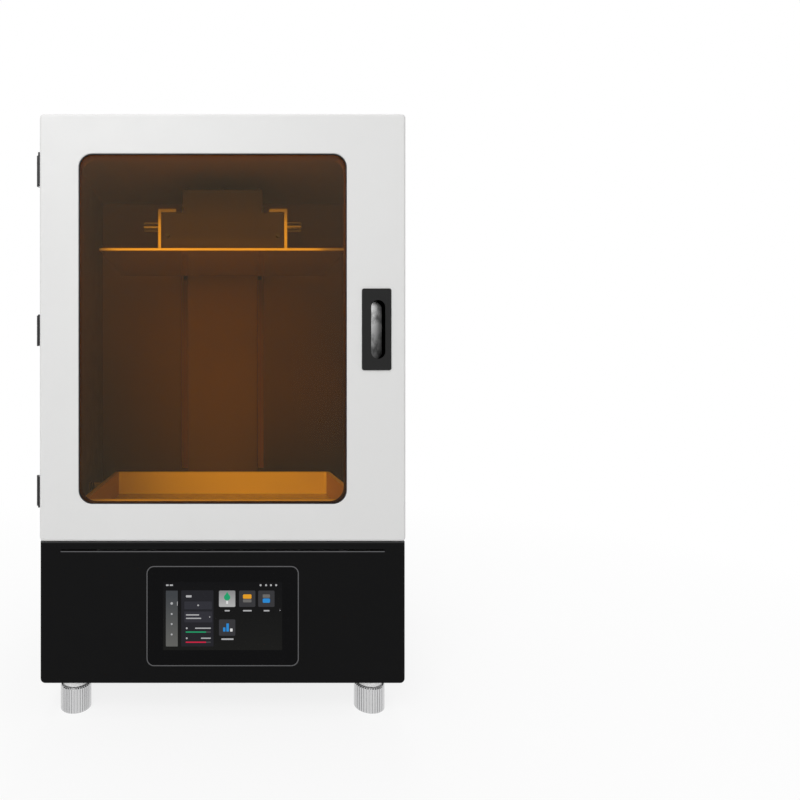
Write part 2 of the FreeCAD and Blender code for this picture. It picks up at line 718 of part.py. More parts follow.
def fan_rotor():
    """The hub and the twisted blades of the rear fan."""
    low = panel_inside - FAN_DEPTH + STRUT_THICK + ROTOR_GAP
    high = panel_inside - ROTOR_BACK_GAP
    hub = rod(FAN_HUB, V(fan_x, low, rear_z), Y, high - low)
    room = rod(FAN_BORE - FAN_TIP_GAP, V(fan_x, low, rear_z), Y, high - low)
    middle = V(fan_x, (low + high) / 2, rear_z)
    blades = []
    for i in range(FAN_BLADES):
        blade = block(about(0, BLADE_WIDTH), about(0, BLADE_THICK), (FAN_HUB - PAST, FAN_BORE))
        blade.rotate(V(0, 0, 0), Z, BLADE_TWIST)
        blade.rotate(V(0, 0, 0), Y, i * 360 / FAN_BLADES)
        blade.translate(middle)
        blades.append(blade.common(room))
    return hub.fuse(blades)


def deck_plate():
    """The deck on the base, with the opening for the exposure screen."""
    lip = front_rounded((-half_width, half_width), (base_front, back), (base_top, deck_top), TUB_EDGE)
    body = front_rounded((DROP_IN_GAP - tub_in_x, tub_in_x - DROP_IN_GAP),
                         (tub_in_front + DROP_IN_GAP, tub_in_back - DROP_IN_GAP),
                         (deck_bottom, base_top), TUB_EDGE - TUB_WALL)
    pocket = block(wider(about(0, PLATE_WIDTH), LCD_MARGIN), wider(about(build_y, PLATE_DEPTH), LCD_MARGIN),
                   (lcd_bottom, deck_top + PAST))
    light = block(wider(about(0, PLATE_WIDTH), -DECK_LEDGE), wider(about(build_y, PLATE_DEPTH), -DECK_LEDGE),
                  (deck_bottom - PAST, deck_top))
    through = DECK_THICK + 2 * PAST
    screw = rod(SCREW_RADIUS + DECK_SCREW_ROOM, V(0, screw_y, deck_bottom - PAST), Z, through)
    holes = [rod(VAT_SCREW_RADIUS + TURN_GAP, V(side * ear_x, build_y, deck_bottom - PAST), Z, through)
             for side in (-1, 1)]
    pins = [rod(VAT_PIN_RADIUS, V(x, y, deck_bottom), Z, DECK_THICK + PAST) for x, y in vat_pin_places()]
    return lip.fuse(body).removeSplitter().cut([pocket, light, screw] + holes + pins)


def vat_pin_places():
    """Two locating pins under each lug of the vat."""
    return [(a * ear_x, build_y + b * VAT_PIN_PITCH / 2) for a in (-1, 1) for b in (-1, 1)]


def vat_pins():
    """The locating pins that stand in the deck."""
    height = DECK_THICK + VAT_PIN_RISE
    return group([rod(VAT_PIN_RADIUS, V(x, y, deck_bottom), Z, height) for x, y in vat_pin_places()])


def exposure_screen():
    """The exposure screen, which stands a little above the deck."""
    return block(wider(about(0, PLATE_WIDTH), LCD_MARGIN), wider(about(build_y, PLATE_DEPTH), LCD_MARGIN),
                 (lcd_bottom, lcd_top))


def light_box():
    """The four walls between the lamps and the exposure screen."""
    z = (board_top, deck_bottom)
    outside = block((-light_x, light_x), about(build_y, 2 * light_y), z)
    inside = block((LIGHT_WALL - light_x, light_x - LIGHT_WALL), about(build_y, 2 * (light_y - LIGHT_WALL)), z)
    return outside.cut(inside)


def lamp_board():
    """The board with its rows of lamps."""
    board = block((-light_x, light_x), about(build_y, 2 * light_y), (board_bottom, board_top))
    step_x = PLATE_WIDTH / LAMP_COLUMNS
    step_y = PLATE_DEPTH / LAMP_ROWS
    lamps = []
    for i in range(LAMP_COLUMNS):
        for j in range(LAMP_ROWS):
            x = (i + 0.5) * step_x - PLATE_WIDTH / 2
            y = build_y + (j + 0.5) * step_y - PLATE_DEPTH / 2
            lamps.append(rod(LAMP_RADIUS, V(x, y, board_top), Z, LAMP_HEIGHT))
    return board.fuse(lamps)


def heat_sink():
    """The finned plate under the lamp board."""
    y = about(build_y, 2 * light_y)
    bottom = board_bottom - SINK_HEIGHT
    plate = block((-light_x, light_x), y, (board_bottom - SINK_PLATE, board_bottom))
    step = (2 * light_x - SINK_FIN) / (SINK_FINS - 1)
    fins = [block((i * step - light_x, i * step - light_x + SINK_FIN), y, (bottom, board_bottom - SINK_PLATE))
            for i in range(SINK_FINS)]
    return plate.fuse(fins).removeSplitter()


def power_supply():
    """The folded cover of the power supply on the floor of the base, open towards the left side."""
    x = (SUPPLY_ROOM - tub_in_x, -light_x - SUPPLY_ROOM)
    y = about(build_y, SUPPLY_LENGTH)
    z = (tub_floor, tub_floor + SUPPLY_HEIGHT)
    inside = block((x[0] - PAST, x[1] - SUPPLY_SHEET), wider(y, -SUPPLY_SHEET), wider(z, -SUPPLY_SHEET))
    return block(x, y, z).cut(inside)


def main_board():
    """The control board on four standoffs at the right side of the base."""
    x = (tub_in_x - BOARD_STANDOFF - BOARD_THICK, tub_in_x - BOARD_STANDOFF)
    board = block(x, about(build_y, BOARD_LENGTH), about(rear_z, BOARD_HEIGHT))
    chips = [block((x[0] - CHIP_THICK, x[0]), about(build_y + along * BOARD_LENGTH, CHIP_LENGTH),
                   about(rear_z + up * BOARD_HEIGHT, CHIP_HEIGHT)) for along, up in CHIP_PLACES]
    post_y = BOARD_LENGTH / 2 - STANDOFF_INSET
    post_z = BOARD_HEIGHT / 2 - STANDOFF_INSET
    posts = [rod(STANDOFF_RADIUS, V(x[1], build_y + a * post_y, rear_z + b * post_z), X, BOARD_STANDOFF)
             for a in (-1, 1) for b in (-1, 1)]
    return board.fuse(chips + posts)


def screen_frame():
    """The thin frame round the touch glass, with its flange behind the front of the base."""
    face = base_front - SCREEN_PROUD
    flange_back = tub_in_front + SCREEN_FRAME
    rim = screen_shape(0, (face, flange_back))
    flange = screen_shape(SCREEN_LAP, (tub_in_front, flange_back))
    hole = screen_shape(-SCREEN_FRAME, (face - PAST, flange_back + PAST))
    return rim.fuse(flange).removeSplitter().cut(hole)


def touch_glass():
    """The dark touch glass, just above the frame's face level with the base."""
    return screen_shape(-SCREEN_FRAME, (base_front, base_front + SCREEN_GLASS))


def display_module():
    """The display behind the touch glass."""
    start = base_front + SCREEN_GLASS
    return block(about(0, DISPLAY_WIDTH), (start, start + DISPLAY_THICK), about(screen_z, DISPLAY_HEIGHT))


def vat_ring():
    """The flat ring under the vat that holds the release film."""
    z = (deck_top, film_bottom)
    ring = rounded((-vat_out_x, vat_out_x), (vat_front, vat_back), z, Z, VAT_CORNER)
    inside = rounded((-vat_in_x, vat_in_x), wider((vat_front, vat_back), -VAT_WALL), z, Z, VAT_CORNER / 2)
    return ring.cut(inside)


def release_film():
    """The clear film that is the floor of the vat."""
    return rounded((-vat_out_x, vat_out_x), (vat_front, vat_back), (film_bottom, film_top), Z, VAT_CORNER)


def vat_frame():
    """The walls of the vat, with a lug for a thumb screw on each side."""
    z = (film_top, vat_rim)
    wall = rounded((-vat_out_x, vat_out_x), (vat_front, vat_back), z, Z, VAT_CORNER)
    inside = rounded((-vat_in_x, vat_in_x), wider((vat_front, vat_back), -VAT_WALL), z, Z, VAT_CORNER / 2)
    lugs = []
    for side in (-1, 1):
        ends = sorted((side * (vat_out_x - VAT_WALL / 2), side * (vat_out_x + EAR_WIDTH)))
        lugs.append(block(ends, about(build_y, EAR_LENGTH), (film_top, ear_top)))
    pin_top = deck_top + VAT_PIN_RISE + PAST
    holes = [rod(VAT_PIN_RADIUS + TURN_GAP, V(x, y, film_top), Z, pin_top - film_top)
             for x, y in vat_pin_places()]
    bores = [rod(VAT_SCREW_RADIUS + TURN_GAP, V(side * ear_x, build_y, film_top), Z, EAR_HEIGHT)
             for side in (-1, 1)]
    return wall.fuse(lugs).removeSplitter().cut([inside] + holes + bores)


def vat_screw(side):
    """A captive thumb screw that holds the vat down."""
    bottom = deck_top - VAT_SCREW_BITE
    head_bottom_z = ear_top + TURN_GAP
    stem = rod(VAT_SCREW_RADIUS, V(side * ear_x, build_y, bottom), Z, head_bottom_z - bottom)
    head = fluted(VAT_SCREW_HEAD, VAT_SCREW_HEAD_HEIGHT, VAT_SCREW_FLUTES, KNOB_FLUTE_DEPTH, KNOB_CHAMFER)
    return put(head, V(side * ear_x, build_y, head_bottom_z), Z).fuse(stem)


def build_plate():
    """The flat plate that the print hangs from."""
    z = (plate_bottom, plate_top)
    return rounded(about(0, PLATE_WIDTH), about(build_y, PLATE_DEPTH), z, Z, PLATE_CORNER)


def plate_hanger():
    """The C-shaped hanger on the plate, with turned-in top edges."""
    y = about(build_y, HANGER_DEPTH)
    outside = rounded(about(0, HANGER_WIDTH), y, (plate_top, hanger_top), Y, HANGER_ROUND)
    inside = block(about(0, HANGER_WIDTH - 2 * HANGER_WALL), y,
                   (plate_top + HANGER_WALL, hanger_top - HANGER_WALL))
    gap = block(about(0, HANGER_WIDTH - 2 * HANGER_HOOK), y, (hanger_top - HANGER_WALL, hanger_top))
    stems = rod(CLAMP_STEM + TURN_GAP, V(-HANGER_WIDTH, build_y, clamp_z), X, 2 * HANGER_WIDTH)
    return outside.cut([inside, gap, stems])


def clamp_knob(side):
    """A clamp knob whose stem goes through a wall of the hanger."""
    tip = HANGER_WIDTH / 2 - HANGER_WALL
    shoulder = HANGER_WIDTH / 2 + TURN_GAP
    direction = V(side, 0, 0)
    stem = rod(CLAMP_STEM, V(side * tip, build_y, clamp_z), direction, shoulder - tip)
    head = fluted(CLAMP_RADIUS, CLAMP_LENGTH, CLAMP_FLUTES, KNOB_FLUTE_DEPTH, KNOB_CHAMFER)
    return put(head, V(side * shoulder, build_y, clamp_z), direction).fuse(stem)


def head_block():
    """The block inside the hanger that carries the plate."""
    y = about(build_y, HANGER_DEPTH - 2 * HEAD_MARGIN)
    return rounded((-head_x, head_x), y, (head_bottom, head_top), Y, HEAD_ROUND)


def head_screws():
    """The screws in the front of the head block."""
    z = (head_bottom + head_top) / 2 - HANGER_WALL
    x = head_x - HEAD_SCREW_INSET
    return group([rod(HEAD_SCREW_RADIUS, V(side * x, head_front - HEAD_SCREW_HEAD, z), Y, HEAD_SCREW_HEAD)
                  for side in (-1, 1)])


def arm():
    """The arm from the carriage forward over the head block."""
    beam = rounded(about(0, ARM_WIDTH), (head_front, face_front), (head_top, arm_top), Y, ARM_ROUND)
    well_width = ARM_WIDTH / 2 - 2 * ARM_RIB
    well_y = wider((head_front, face_front), -ARM_END)
    wells = []
    for side in (-1, 1):
        wells.append(rounded(about(side * ARM_WIDTH / 4, well_width), well_y,
                             (head_top + ARM_FLOOR, arm_top + PAST), Z, ARM_WELL_CORNER))
    return beam.cut(wells)


def z_carriage():
    """The carriage: a plate on the rails, two cheeks through the back wall and a front face."""
    plate = block((-carriage_x, carriage_x), (carriage_front, carriage_back), (carriage_bottom, carriage_top))
    wing_bottom = max(carriage_bottom, cheek_bottom)
    wings = block((-cheek_out_x, cheek_out_x), (carriage_front, carriage_back), (wing_bottom, carriage_top))
    face = block((-cheek_out_x, cheek_out_x), (face_front, face_back), (cheek_bottom, carriage_top))
    cheeks = [block(sorted((side * cheek_in_x, side * cheek_out_x)), (face_back, carriage_front),
                    (cheek_bottom, carriage_top)) for side in (-1, 1)]
    return plate.fuse([wings, face] + cheeks).removeSplitter()


def chamber_wall():
    """The back wall of the chamber: a raised channel over the lift and the slots that the cheeks run in."""
    z = (deck_top, ceiling)
    wall = block((-chamber_x, chamber_x), (wall_front, wall_back), z)
    channel_front = wall_front - CHANNEL_DEPTH
    channel = block(about(0, CHANNEL_WIDTH), (channel_front, wall_front), z)
    hollow = block(about(0, CHANNEL_WIDTH - 2 * CHAMBER_BACK), (channel_front + CHAMBER_BACK, wall_back), z)
    low = cheek_bottom - plate_travel - SLOT_ROOM
    high = carriage_top + LIFT_ROOM + SLOT_ROOM
    slots = []
    for side in (-1, 1):
        ends = sorted((side * cheek_in_x, side * cheek_out_x))
        slots.append(block(wider(ends, SLOT_ROOM), (wall_front, wall_back), (low, high)))
    return wall.fuse(channel).removeSplitter().cut([hollow] + slots)


def chamber_liner():
    """The dark inner sides and ceiling of the chamber."""
    y = (cabinet_front + SHEET, wall_back)
    z = (deck_top, ceiling + LINER)
    sides = [block(sorted((side * chamber_x, side * liner_x)), y, z) for side in (-1, 1)]
    top = block((-chamber_x, chamber_x), y, (ceiling, ceiling + LINER))
    return group(sides + [top])


def z_column():
    """The upright plate that carries the rails."""
    return block(about(0, COLUMN_WIDTH), (column_front, column_back), (deck_top, ceiling))


def z_rails():
    """The two guide rails with their side grooves."""
    z = (deck_top + RAIL_END, ceiling - RAIL_END)
    y = (column_front - RAIL_SIZE, column_front)
    rails = []
    for side in (-1, 1):
        middle = side * RAIL_PITCH / 2
        rail = block(about(middle, RAIL_SIZE), y, z)
        groove_y = about(sum(y) / 2, RAIL_GROOVE_WIDTH)
        cuts = [block(about(middle + s * RAIL_SIZE / 2, 2 * RAIL_GROOVE_DEPTH), groove_y, z) for s in (-1, 1)]
        rails.append(rail.cut(cuts))
    return group(rails)


def rail_blocks():
    """The four blocks that run on the rails, two on each."""
    y = (carriage_back, column_front - BLOCK_LIFT)
    blocks = []
    for side in (-1, 1):
        middle = side * RAIL_PITCH / 2
        for low in (carriage_bottom + RAIL_END / 2, carriage_top - RAIL_END / 2 - BLOCK_LENGTH):
            z = (low, low + BLOCK_LENGTH)
            body = block(about(middle, BLOCK_WIDTH), y, z)
            groove = block(about(middle, RAIL_SIZE + 2 * TURN_GAP),
                           (column_front - RAIL_SIZE - TURN_GAP, y[1]), z)
            blocks.append(body.cut(groove))
    return group(blocks)


def ball_nut():
    """The nut block behind the carriage plate."""
    top = carriage_top - NUT_DROP
    body = block(about(0, NUT_WIDTH), (carriage_back, column_front - BLOCK_LIFT), (top - NUT_LENGTH, top))
    return body.cut(rod(SCREW_RADIUS + TURN_GAP, V(0, screw_y, top - NUT_LENGTH), Z, NUT_LENGTH))


def screw_bearings():
    """The bearing blocks at the two ends of the lift screw."""
    blocks = []
    for low in (deck_top, ceiling - BEARING_HEIGHT):
        body = block(about(0, BEARING_WIDTH), (carriage_back + BEARING_GAP, column_front),
                     (low, low + BEARING_HEIGHT))
        blocks.append(body.cut(rod(SCREW_RADIUS + BEARING_PLAY, V(0, screw_y, low), Z, BEARING_HEIGHT)))
    return group(blocks)


def lift_screw():
    """The lift screw, from inside the motor to the top bearing."""
    bottom = deck_bottom - MOTOR_BITE
    return put(turned(SCREW_RADIUS, ceiling - BEARING_GAP - bottom, SCREW_CHAMFER), V(0, screw_y, bottom), Z)


def z_motor():
    """The square motor under the deck that turns the lift screw."""
    z = (deck_bottom - MOTOR_LENGTH, deck_bottom)
    body = rounded(about(0, MOTOR_SIZE), about(screw_y, MOTOR_SIZE), z, Z, MOTOR_CORNER)
    bore_depth = MOTOR_BITE + PAST
    return body.cut(rod(SCREW_RADIUS + TURN_GAP, V(0, screw_y, deck_bottom - bore_depth), Z, bore_depth))


def cabinet_shell():
    """The white cabinet: sides and top, with turned-in edges at the front and the back."""
    body = top_rounded((-half_width, half_width), (cabinet_front, cover_inside), (deck_top, cabinet_top),
                       CABINET_CORNER)
    room = top_rounded((-shell_in_x, shell_in_x), (cabinet_front + SHEET, cover_inside - SHEET),
                       (deck_top, cabinet_top - SHEET), CABINET_CORNER - SHEET)
    reach = half_width - FLANGE
    way = block((-reach, reach), (cabinet_front - PAST, cover_inside + PAST),
                (deck_top + FLANGE, cabinet_top - FLANGE))
    return body.cut([room, way] + cover_screw_holes(cabinet_screw_places()))


def cabinet_cover():
    """The back cover of the cabinet with its rows of air slots."""
    cover = top_rounded((-half_width, half_width), (cover_inside, back), (deck_top, cabinet_top),
                        CABINET_CORNER)
    slots = []
    for side in (-1, 1):
        for i in range(COVER_SLOTS):
            z = ceiling - COVER_SLOT_DROP - i * COVER_SLOT_PITCH
            slots.append(rounded(about(side * half_width / 2, COVER_SLOT_LENGTH),
                                 (cover_inside - PAST, back + PAST), about(z, SIDE_SLOT_WIDTH), Y,
                                 SIDE_SLOT_WIDTH * SLOT_ROUND))
    return cover.cut(slots + cover_screw_holes(cabinet_screw_places()))


def door_shell():
    """The white outer skin of the door, turned back at its edges and round the window."""
    z = (door_bottom, door_top)
    body = rounded((-half_width, half_width), (front, door_back), z, Y, DOOR_CORNER)
    body = soften_front(body, front, DOOR_EDGE)
    inner_x = half_width - DOOR_SKIN
    hollow = rounded((-inner_x, inner_x), (front + DOOR_SKIN, door_back + PAST), wider(z, -DOOR_SKIN), Y,
                     DOOR_CORNER - DOOR_SKIN)
    collar = window_shape(DOOR_SKIN, (front + DOOR_SKIN / 2, front + WINDOW_RECESS))
    body = body.cut(hollow).fuse(collar).removeSplitter()
    handle = rounded(about(handle_x, HANDLE_WIDTH - 2 * HANDLE_CORNER),
                     (front - PAST, front + DOOR_SKIN + PAST),
                     about(handle_z, HANDLE_HEIGHT - 2 * HANDLE_CORNER), Y, HANDLE_CORNER)
    body = body.cut(window_shape(0, (front - PAST, front + WINDOW_RECESS + PAST)))
    rim = [e for e in body.Edges if abs(e.BoundBox.YMax - front) < 1e-6 and in_window(e.CenterOfMass)]
    return body.makeFillet(WINDOW_EDGE, rim).cut(handle)


def in_window(point):
    """Whether a point lies on the outline of the window or inside it."""
    x = wider(window_x, PAST)
    z = wider(window_z, PAST)
    return x[0] < point.x < x[1] and z[0] < point.z < z[1]


def door_panel():
    """The inner panel of the door, with the rim that presses the window forward."""
    x = half_width - DOOR_SKIN
    z = wider((door_bottom, door_top), -DOOR_SKIN)
    panel = rounded((-x, x), (door_back - DOOR_PANEL, door_back), z, Y, DOOR_CORNER - DOOR_SKIN)
    rim = window_shape(TRIM + RIM_WALL, (window_back, door_back - DOOR_PANEL))
    return panel.fuse(rim).removeSplitter().cut(window_shape(TRIM, (window_back - PAST, door_back + PAST)))


def door_window():
    """The amber pane, pressed against the collar of the door's skin."""
    return window_shape(WINDOW_LAP, (front + WINDOW_RECESS, window_back))


def window_trim():
    """The thin dark lining of the window's recess."""
    y = (front + WINDOW_EDGE, front + WINDOW_RECESS)
    return window_shape(0, y).cut(window_shape(-TRIM, y))


def door_seal():
    """The rubber seal on the back of the door."""
    y = (door_back, cabinet_front - TURN_GAP)
    x = (SEAL_INSET - half_width, half_width - SEAL_INSET)
    z = (door_bottom + SEAL_INSET, door_top - SEAL_INSET)
    ring = rounded(x, y, z, Y, SEAL_WIDTH + SEAL_CORNER)
    return ring.cut(rounded(wider(x, -SEAL_WIDTH), y, wider(z, -SEAL_WIDTH), Y, SEAL_CORNER))


def catch_heights():
    """The heights of the two door catches."""
    return [sum(window_z) / 2 + side * CATCH_PITCH / 2 for side in (-1, 1)]


def strike_middle():
    """The middle of a strike plate, between the seal and the edge of the door."""
    return half_width - SEAL_INSET / 2


def door_strikes():
    """The steel strike plates on the back of the door."""
    return group([block(about(strike_middle(), STRIKE_WIDTH), (door_back, door_back + STRIKE_THICK),
                        about(z, STRIKE_HEIGHT)) for z in catch_heights()])


def catch_magnets():
    """The magnets behind the front edge of the cabinet."""
    y = (cabinet_front + SHEET, cabinet_front + SHEET + MAGNET_DEPTH)
    x = (liner_x, shell_in_x)
    return group([block(x, y, about(z, STRIKE_HEIGHT)) for z in catch_heights()])


def handle_bezel():
    """The dark flush pull in the door: a plate with a deep finger slot."""
    face = front - HANDLE_PROUD
    plate = rounded(about(handle_x, HANDLE_WIDTH), (face, front), about(handle_z, HANDLE_HEIGHT), Y,
                    HANDLE_CORNER)
    plate = soften_front(plate, face, HANDLE_EDGE)
    sleeve = obround(finger_x, handle_z, FINGER_WIDTH + 2 * HANDLE_WALL, FINGER_HEIGHT + 2 * HANDLE_WALL,
                     (front, front + HANDLE_DEPTH))
    finger = obround(finger_x, handle_z, FINGER_WIDTH, FINGER_HEIGHT, (face - PAST, front + HANDLE_DEPTH))
    return plate.fuse(sleeve).removeSplitter().cut(finger)


def handle_bottom():
    """The metal bottom of the finger slot."""
    return obround(finger_x, handle_z, FINGER_WIDTH, FINGER_HEIGHT, (finger_bottom, front + HANDLE_DEPTH))


def knuckle(z, bore):
    """One knuckle of a hinge between two heights."""
    length = z[1] - z[0]
    outside = rod(KNUCKLE_RADIUS, V(hinge_x, hinge_y, z[0]), Z, length)
    return outside, rod(bore, V(hinge_x, hinge_y, z[0]), Z, length)


def cabinet_leaf(middle):
    """A hinge leaf on the side of the cabinet, with the two outer knuckles."""
    x = (-half_width - LEAF_THICK, -half_width)
    start = cabinet_front + LEAF_SETBACK
    leaf = block(x, (start, start + LEAF_LENGTH), about(middle, HINGE_HEIGHT))
    holes = []
    for side in (-1, 1):
        z = sorted((middle + side * HINGE_HEIGHT / 2, middle + side * (knuckle_half + TURN_GAP)))
        tube, hole = knuckle(z, HINGE_PIN_RADIUS)
        neck = block((x[0], x[1] - TURN_GAP), (hinge_y, start), z)
        leaf = leaf.fuse([tube, neck])
        holes.append(hole)
    return leaf.cut(holes).removeSplitter()


def door_leaf(middle):
    """A hinge leaf on the edge of the door, with the middle knuckle."""
    x = (-half_width - LEAF_THICK, -half_width)
    leaf_back = hinge_y - KNUCKLE_RADIUS - TURN_GAP
    leaf = block(x, (front + DOOR_EDGE, leaf_back), about(middle, HINGE_HEIGHT))
    z = about(middle, 2 * knuckle_half)
    tube, hole = knuckle(z, HINGE_PIN_RADIUS + PIN_PLAY)
    neck = block((x[0], -half_width - TURN_GAP), (leaf_back, hinge_y), z)
    return leaf.fuse([tube, neck]).cut(hole).removeSplitter()


def hinge_pin(middle):
    """The pin of one hinge."""
    return rod(HINGE_PIN_RADIUS, V(hinge_x, hinge_y, middle - HINGE_HEIGHT / 2), Z, HINGE_HEIGHT)


NODES = {
    "base_tub": base_tub(),
    "base_rear_panel": base_rear_panel(),
    "foot_nuts": foot_nuts(),
    "deck_plate": deck_plate(),
    "vat_pins": vat_pins(),
    "exposure_screen": exposure_screen(),
    "light_box": light_box(),
    "lamp_board": lamp_board(),
    "heat_sink": heat_sink(),
    "power_supply": power_supply(),
    "main_board": main_board(),
    "screen_frame": screen_frame(),
    "touch_glass": touch_glass(),
    "display_module": display_module(),
    "power_inlet": power_inlet(),
    "power_rocker": power_rocker(),
    "data_socket": data_socket(),
    "fan_frame": fan_frame(),
    "fan_rotor": fan_rotor(),
    "cover_screws": cover_screws(),
    "cabinet_shell": cabinet_shell(),
    "cabinet_cover": cabinet_cover(),
    "chamber_liner": chamber_liner(),
    "chamber_wall": chamber_wall(),
    "z_column": z_column(),
    "z_rails": z_rails(),
    "screw_bearings": screw_bearings(),
    "z_motor": z_motor(),
    "lift_screw": lift_screw(),
    "ball_nut": ball_nut(),
    "rail_blocks": rail_blocks(),
    "z_carriage": z_carriage(),
    "arm": arm(),
    "head_block": head_block(),
    "head_screws": head_screws(),
    "plate_hanger": plate_hanger(),
    "build_plate": build_plate(),
    "clamp_knob_left": clamp_knob(-1),
    "clamp_knob_right": clamp_knob(1),
    "vat_ring": vat_ring(),
    "release_film": release_film(),
    "vat_frame": vat_frame(),
    "vat_screw_left": vat_screw(-1),
    "vat_screw_right": vat_screw(1),
    "door_shell": door_shell(),
    "door_panel": door_panel(),
    "door_window": door_window(),
    "window_trim": window_trim(),
    "door_seal": door_seal(),
    "door_strikes": door_strikes(),
    "catch_magnets": catch_magnets(),
    "handle_bezel": handle_bezel(),
    "handle_bottom": handle_bottom(),
    "hinge_cabinet_leaves": group([cabinet_leaf(z) for z in hinge_heights]),
    "hinge_door_leaves": group([door_leaf(z) for z in hinge_heights]),
    "hinge_pins": group([hinge_pin(z) for z in hinge_heights]),
}
for place, (x, y) in foot_places.items():
    NODES["foot_" + place] = foot(x, y)

os.makedirs("parts", exist_ok=True)
for name, shape in NODES.items():
    shape.exportStep("parts/" + name + ".step")
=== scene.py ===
import bpy
import bmesh
import math
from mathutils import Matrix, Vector


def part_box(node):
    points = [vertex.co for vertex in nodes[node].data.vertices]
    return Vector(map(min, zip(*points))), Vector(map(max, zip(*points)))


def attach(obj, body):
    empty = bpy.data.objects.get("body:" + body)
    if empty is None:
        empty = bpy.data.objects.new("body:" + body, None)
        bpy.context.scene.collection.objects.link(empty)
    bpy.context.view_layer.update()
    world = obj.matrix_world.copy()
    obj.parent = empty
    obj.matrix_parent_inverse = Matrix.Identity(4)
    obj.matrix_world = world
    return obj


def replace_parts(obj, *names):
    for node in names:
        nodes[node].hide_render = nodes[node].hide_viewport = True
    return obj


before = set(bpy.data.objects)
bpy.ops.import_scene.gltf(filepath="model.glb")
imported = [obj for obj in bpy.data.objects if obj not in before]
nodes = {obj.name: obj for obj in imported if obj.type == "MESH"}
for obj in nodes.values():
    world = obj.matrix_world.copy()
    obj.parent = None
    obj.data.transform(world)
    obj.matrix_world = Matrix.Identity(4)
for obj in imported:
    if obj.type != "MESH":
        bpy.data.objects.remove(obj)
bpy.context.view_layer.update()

# Materials

def material(name):
    """A new node material with its tree and its Principled shader."""
    mat = bpy.data.materials.new(name)
    mat.use_nodes = True
    tree = mat.node_tree
    return mat, tree, tree.nodes["Principled BSDF"]


def place(tree, stretch=(1, 1, 1)):
    """Object coordinates, stretched, as a socket."""
    coords = tree.nodes.new("ShaderNodeTexCoord")
    mapping = tree.nodes.new("ShaderNodeMapping")
    mapping.inputs["Scale"].default_value = stretch
    tree.links.new(coords.outputs["Object"], mapping.inputs["Vector"])
    return mapping.outputs["Vector"]


def noise(tree, where, scale, detail=3.0):
    """A noise value as a socket."""
    node = tree.nodes.new("ShaderNodeTexNoise")
    node.inputs["Scale"].default_value = scale
    node.inputs["Detail"].default_value = detail
    tree.links.new(where, node.inputs["Vector"])
    return node.outputs["Fac"]


def spread(tree, value, low, high):
    """A value between 0.3 and 0.7 spread over a range."""
    node = tree.nodes.new("ShaderNodeMapRange")
    node.inputs["From Min"].default_value = 0.3
    node.inputs["From Max"].default_value = 0.7
    node.inputs["To Min"].default_value = low
    node.inputs["To Max"].default_value = high
    tree.links.new(value, node.inputs["Value"])
    return node.outputs["Result"]


def tint(tree, shader, value, colour, change):
    """Base colour that varies a little round a colour."""
    mix = tree.nodes.new("ShaderNodeMix")
    mix.data_type = "RGBA"
    mix.inputs["A"].default_value = [c * (1 - change) for c in colour] + [1]
    mix.inputs["B"].default_value = [min(1, c * (1 + change)) for c in colour] + [1]
    tree.links.new(value, mix.inputs["Factor"])
    tree.links.new(mix.outputs["Result"], shader.inputs["Base Color"])


def bump(tree, shader, value, strength, distance):
    """Fine relief from a value."""
    node = tree.nodes.new("ShaderNodeBump")
    node.inputs["Strength"].default_value = strength
    node.inputs["Distance"].default_value = distance
    tree.links.new(value, node.inputs["Height"])
    tree.links.new(node.outputs["Normal"], shader.inputs["Normal"])


def along(tree, axis, start, end):
    """0 to 1 between two places along an axis, as a socket."""
    coords = tree.nodes.new("ShaderNodeTexCoord")
    parts = tree.nodes.new("ShaderNodeSeparateXYZ")
    tree.links.new(coords.outputs["Object"], parts.inputs["Vector"])
    node = tree.nodes.new("ShaderNodeMapRange")
    node.inputs["From Min"].default_value = start
    node.inputs["From Max"].default_value = end
    tree.links.new(parts.outputs[axis], node.inputs["Value"])
    return node.outputs["Result"]


def blended(mat, value, colour, blend="MIX"):
    """Another colour worked into a material's base colour by a value."""
    tree = mat.node_tree
    shader = tree.nodes["Principled BSDF"]
    ground = shader.inputs["Base Color"].links[0].from_socket
    mix = tree.nodes.new("ShaderNodeMix")
    mix.data_type = "RGBA"
    mix.blend_type = blend
    mix.inputs["B"].default_value = list(colour) + [1]
    tree.links.new(value, mix.inputs["Factor"])
    tree.links.new(ground, mix.inputs["A"])
    tree.links.new(mix.outputs["Result"], shader.inputs["Base Color"])


def coated(name, colour, rough, grain=700.0, relief=0.15, change=0.03, metal=0.0, shine=0.5):
    """A painted, moulded or rubber surface with a fine grain."""
    mat, tree, shader = material(name)
    where = place(tree)
    tint(tree, shader, noise(tree, where, 9.0), colour, change)
    fine = noise(tree, where, grain, 2.0)
    uneven = spread(tree, noise(tree, where, 40.0), rough * 0.9, min(1, rough * 1.12))
    tree.links.new(uneven, shader.inputs["Roughness"])
    bump(tree, shader, fine, relief, 0.0004)
    shader.inputs["Metallic"].default_value = metal
    shader.inputs["Specular IOR Level"].default_value = shine
    return mat


def machined(name, colour, rough, stretch=(1, 1, 1), scale=500.0, relief=0.12, change=0.06, metal=1.0):
    """Bare metal with fine tool marks along one direction."""
    mat, tree, shader = material(name)
    where = place(tree, stretch)
    marks = noise(tree, where, scale, 4.0)
    tint(tree, shader, noise(tree, place(tree), 14.0), colour, change)
    tree.links.new(spread(tree, marks, rough * 0.75, min(1, rough * 1.3)), shader.inputs["Roughness"])
    bump(tree, shader, marks, relief, 0.0002)
    shader.inputs["Metallic"].default_value = metal
    return mat


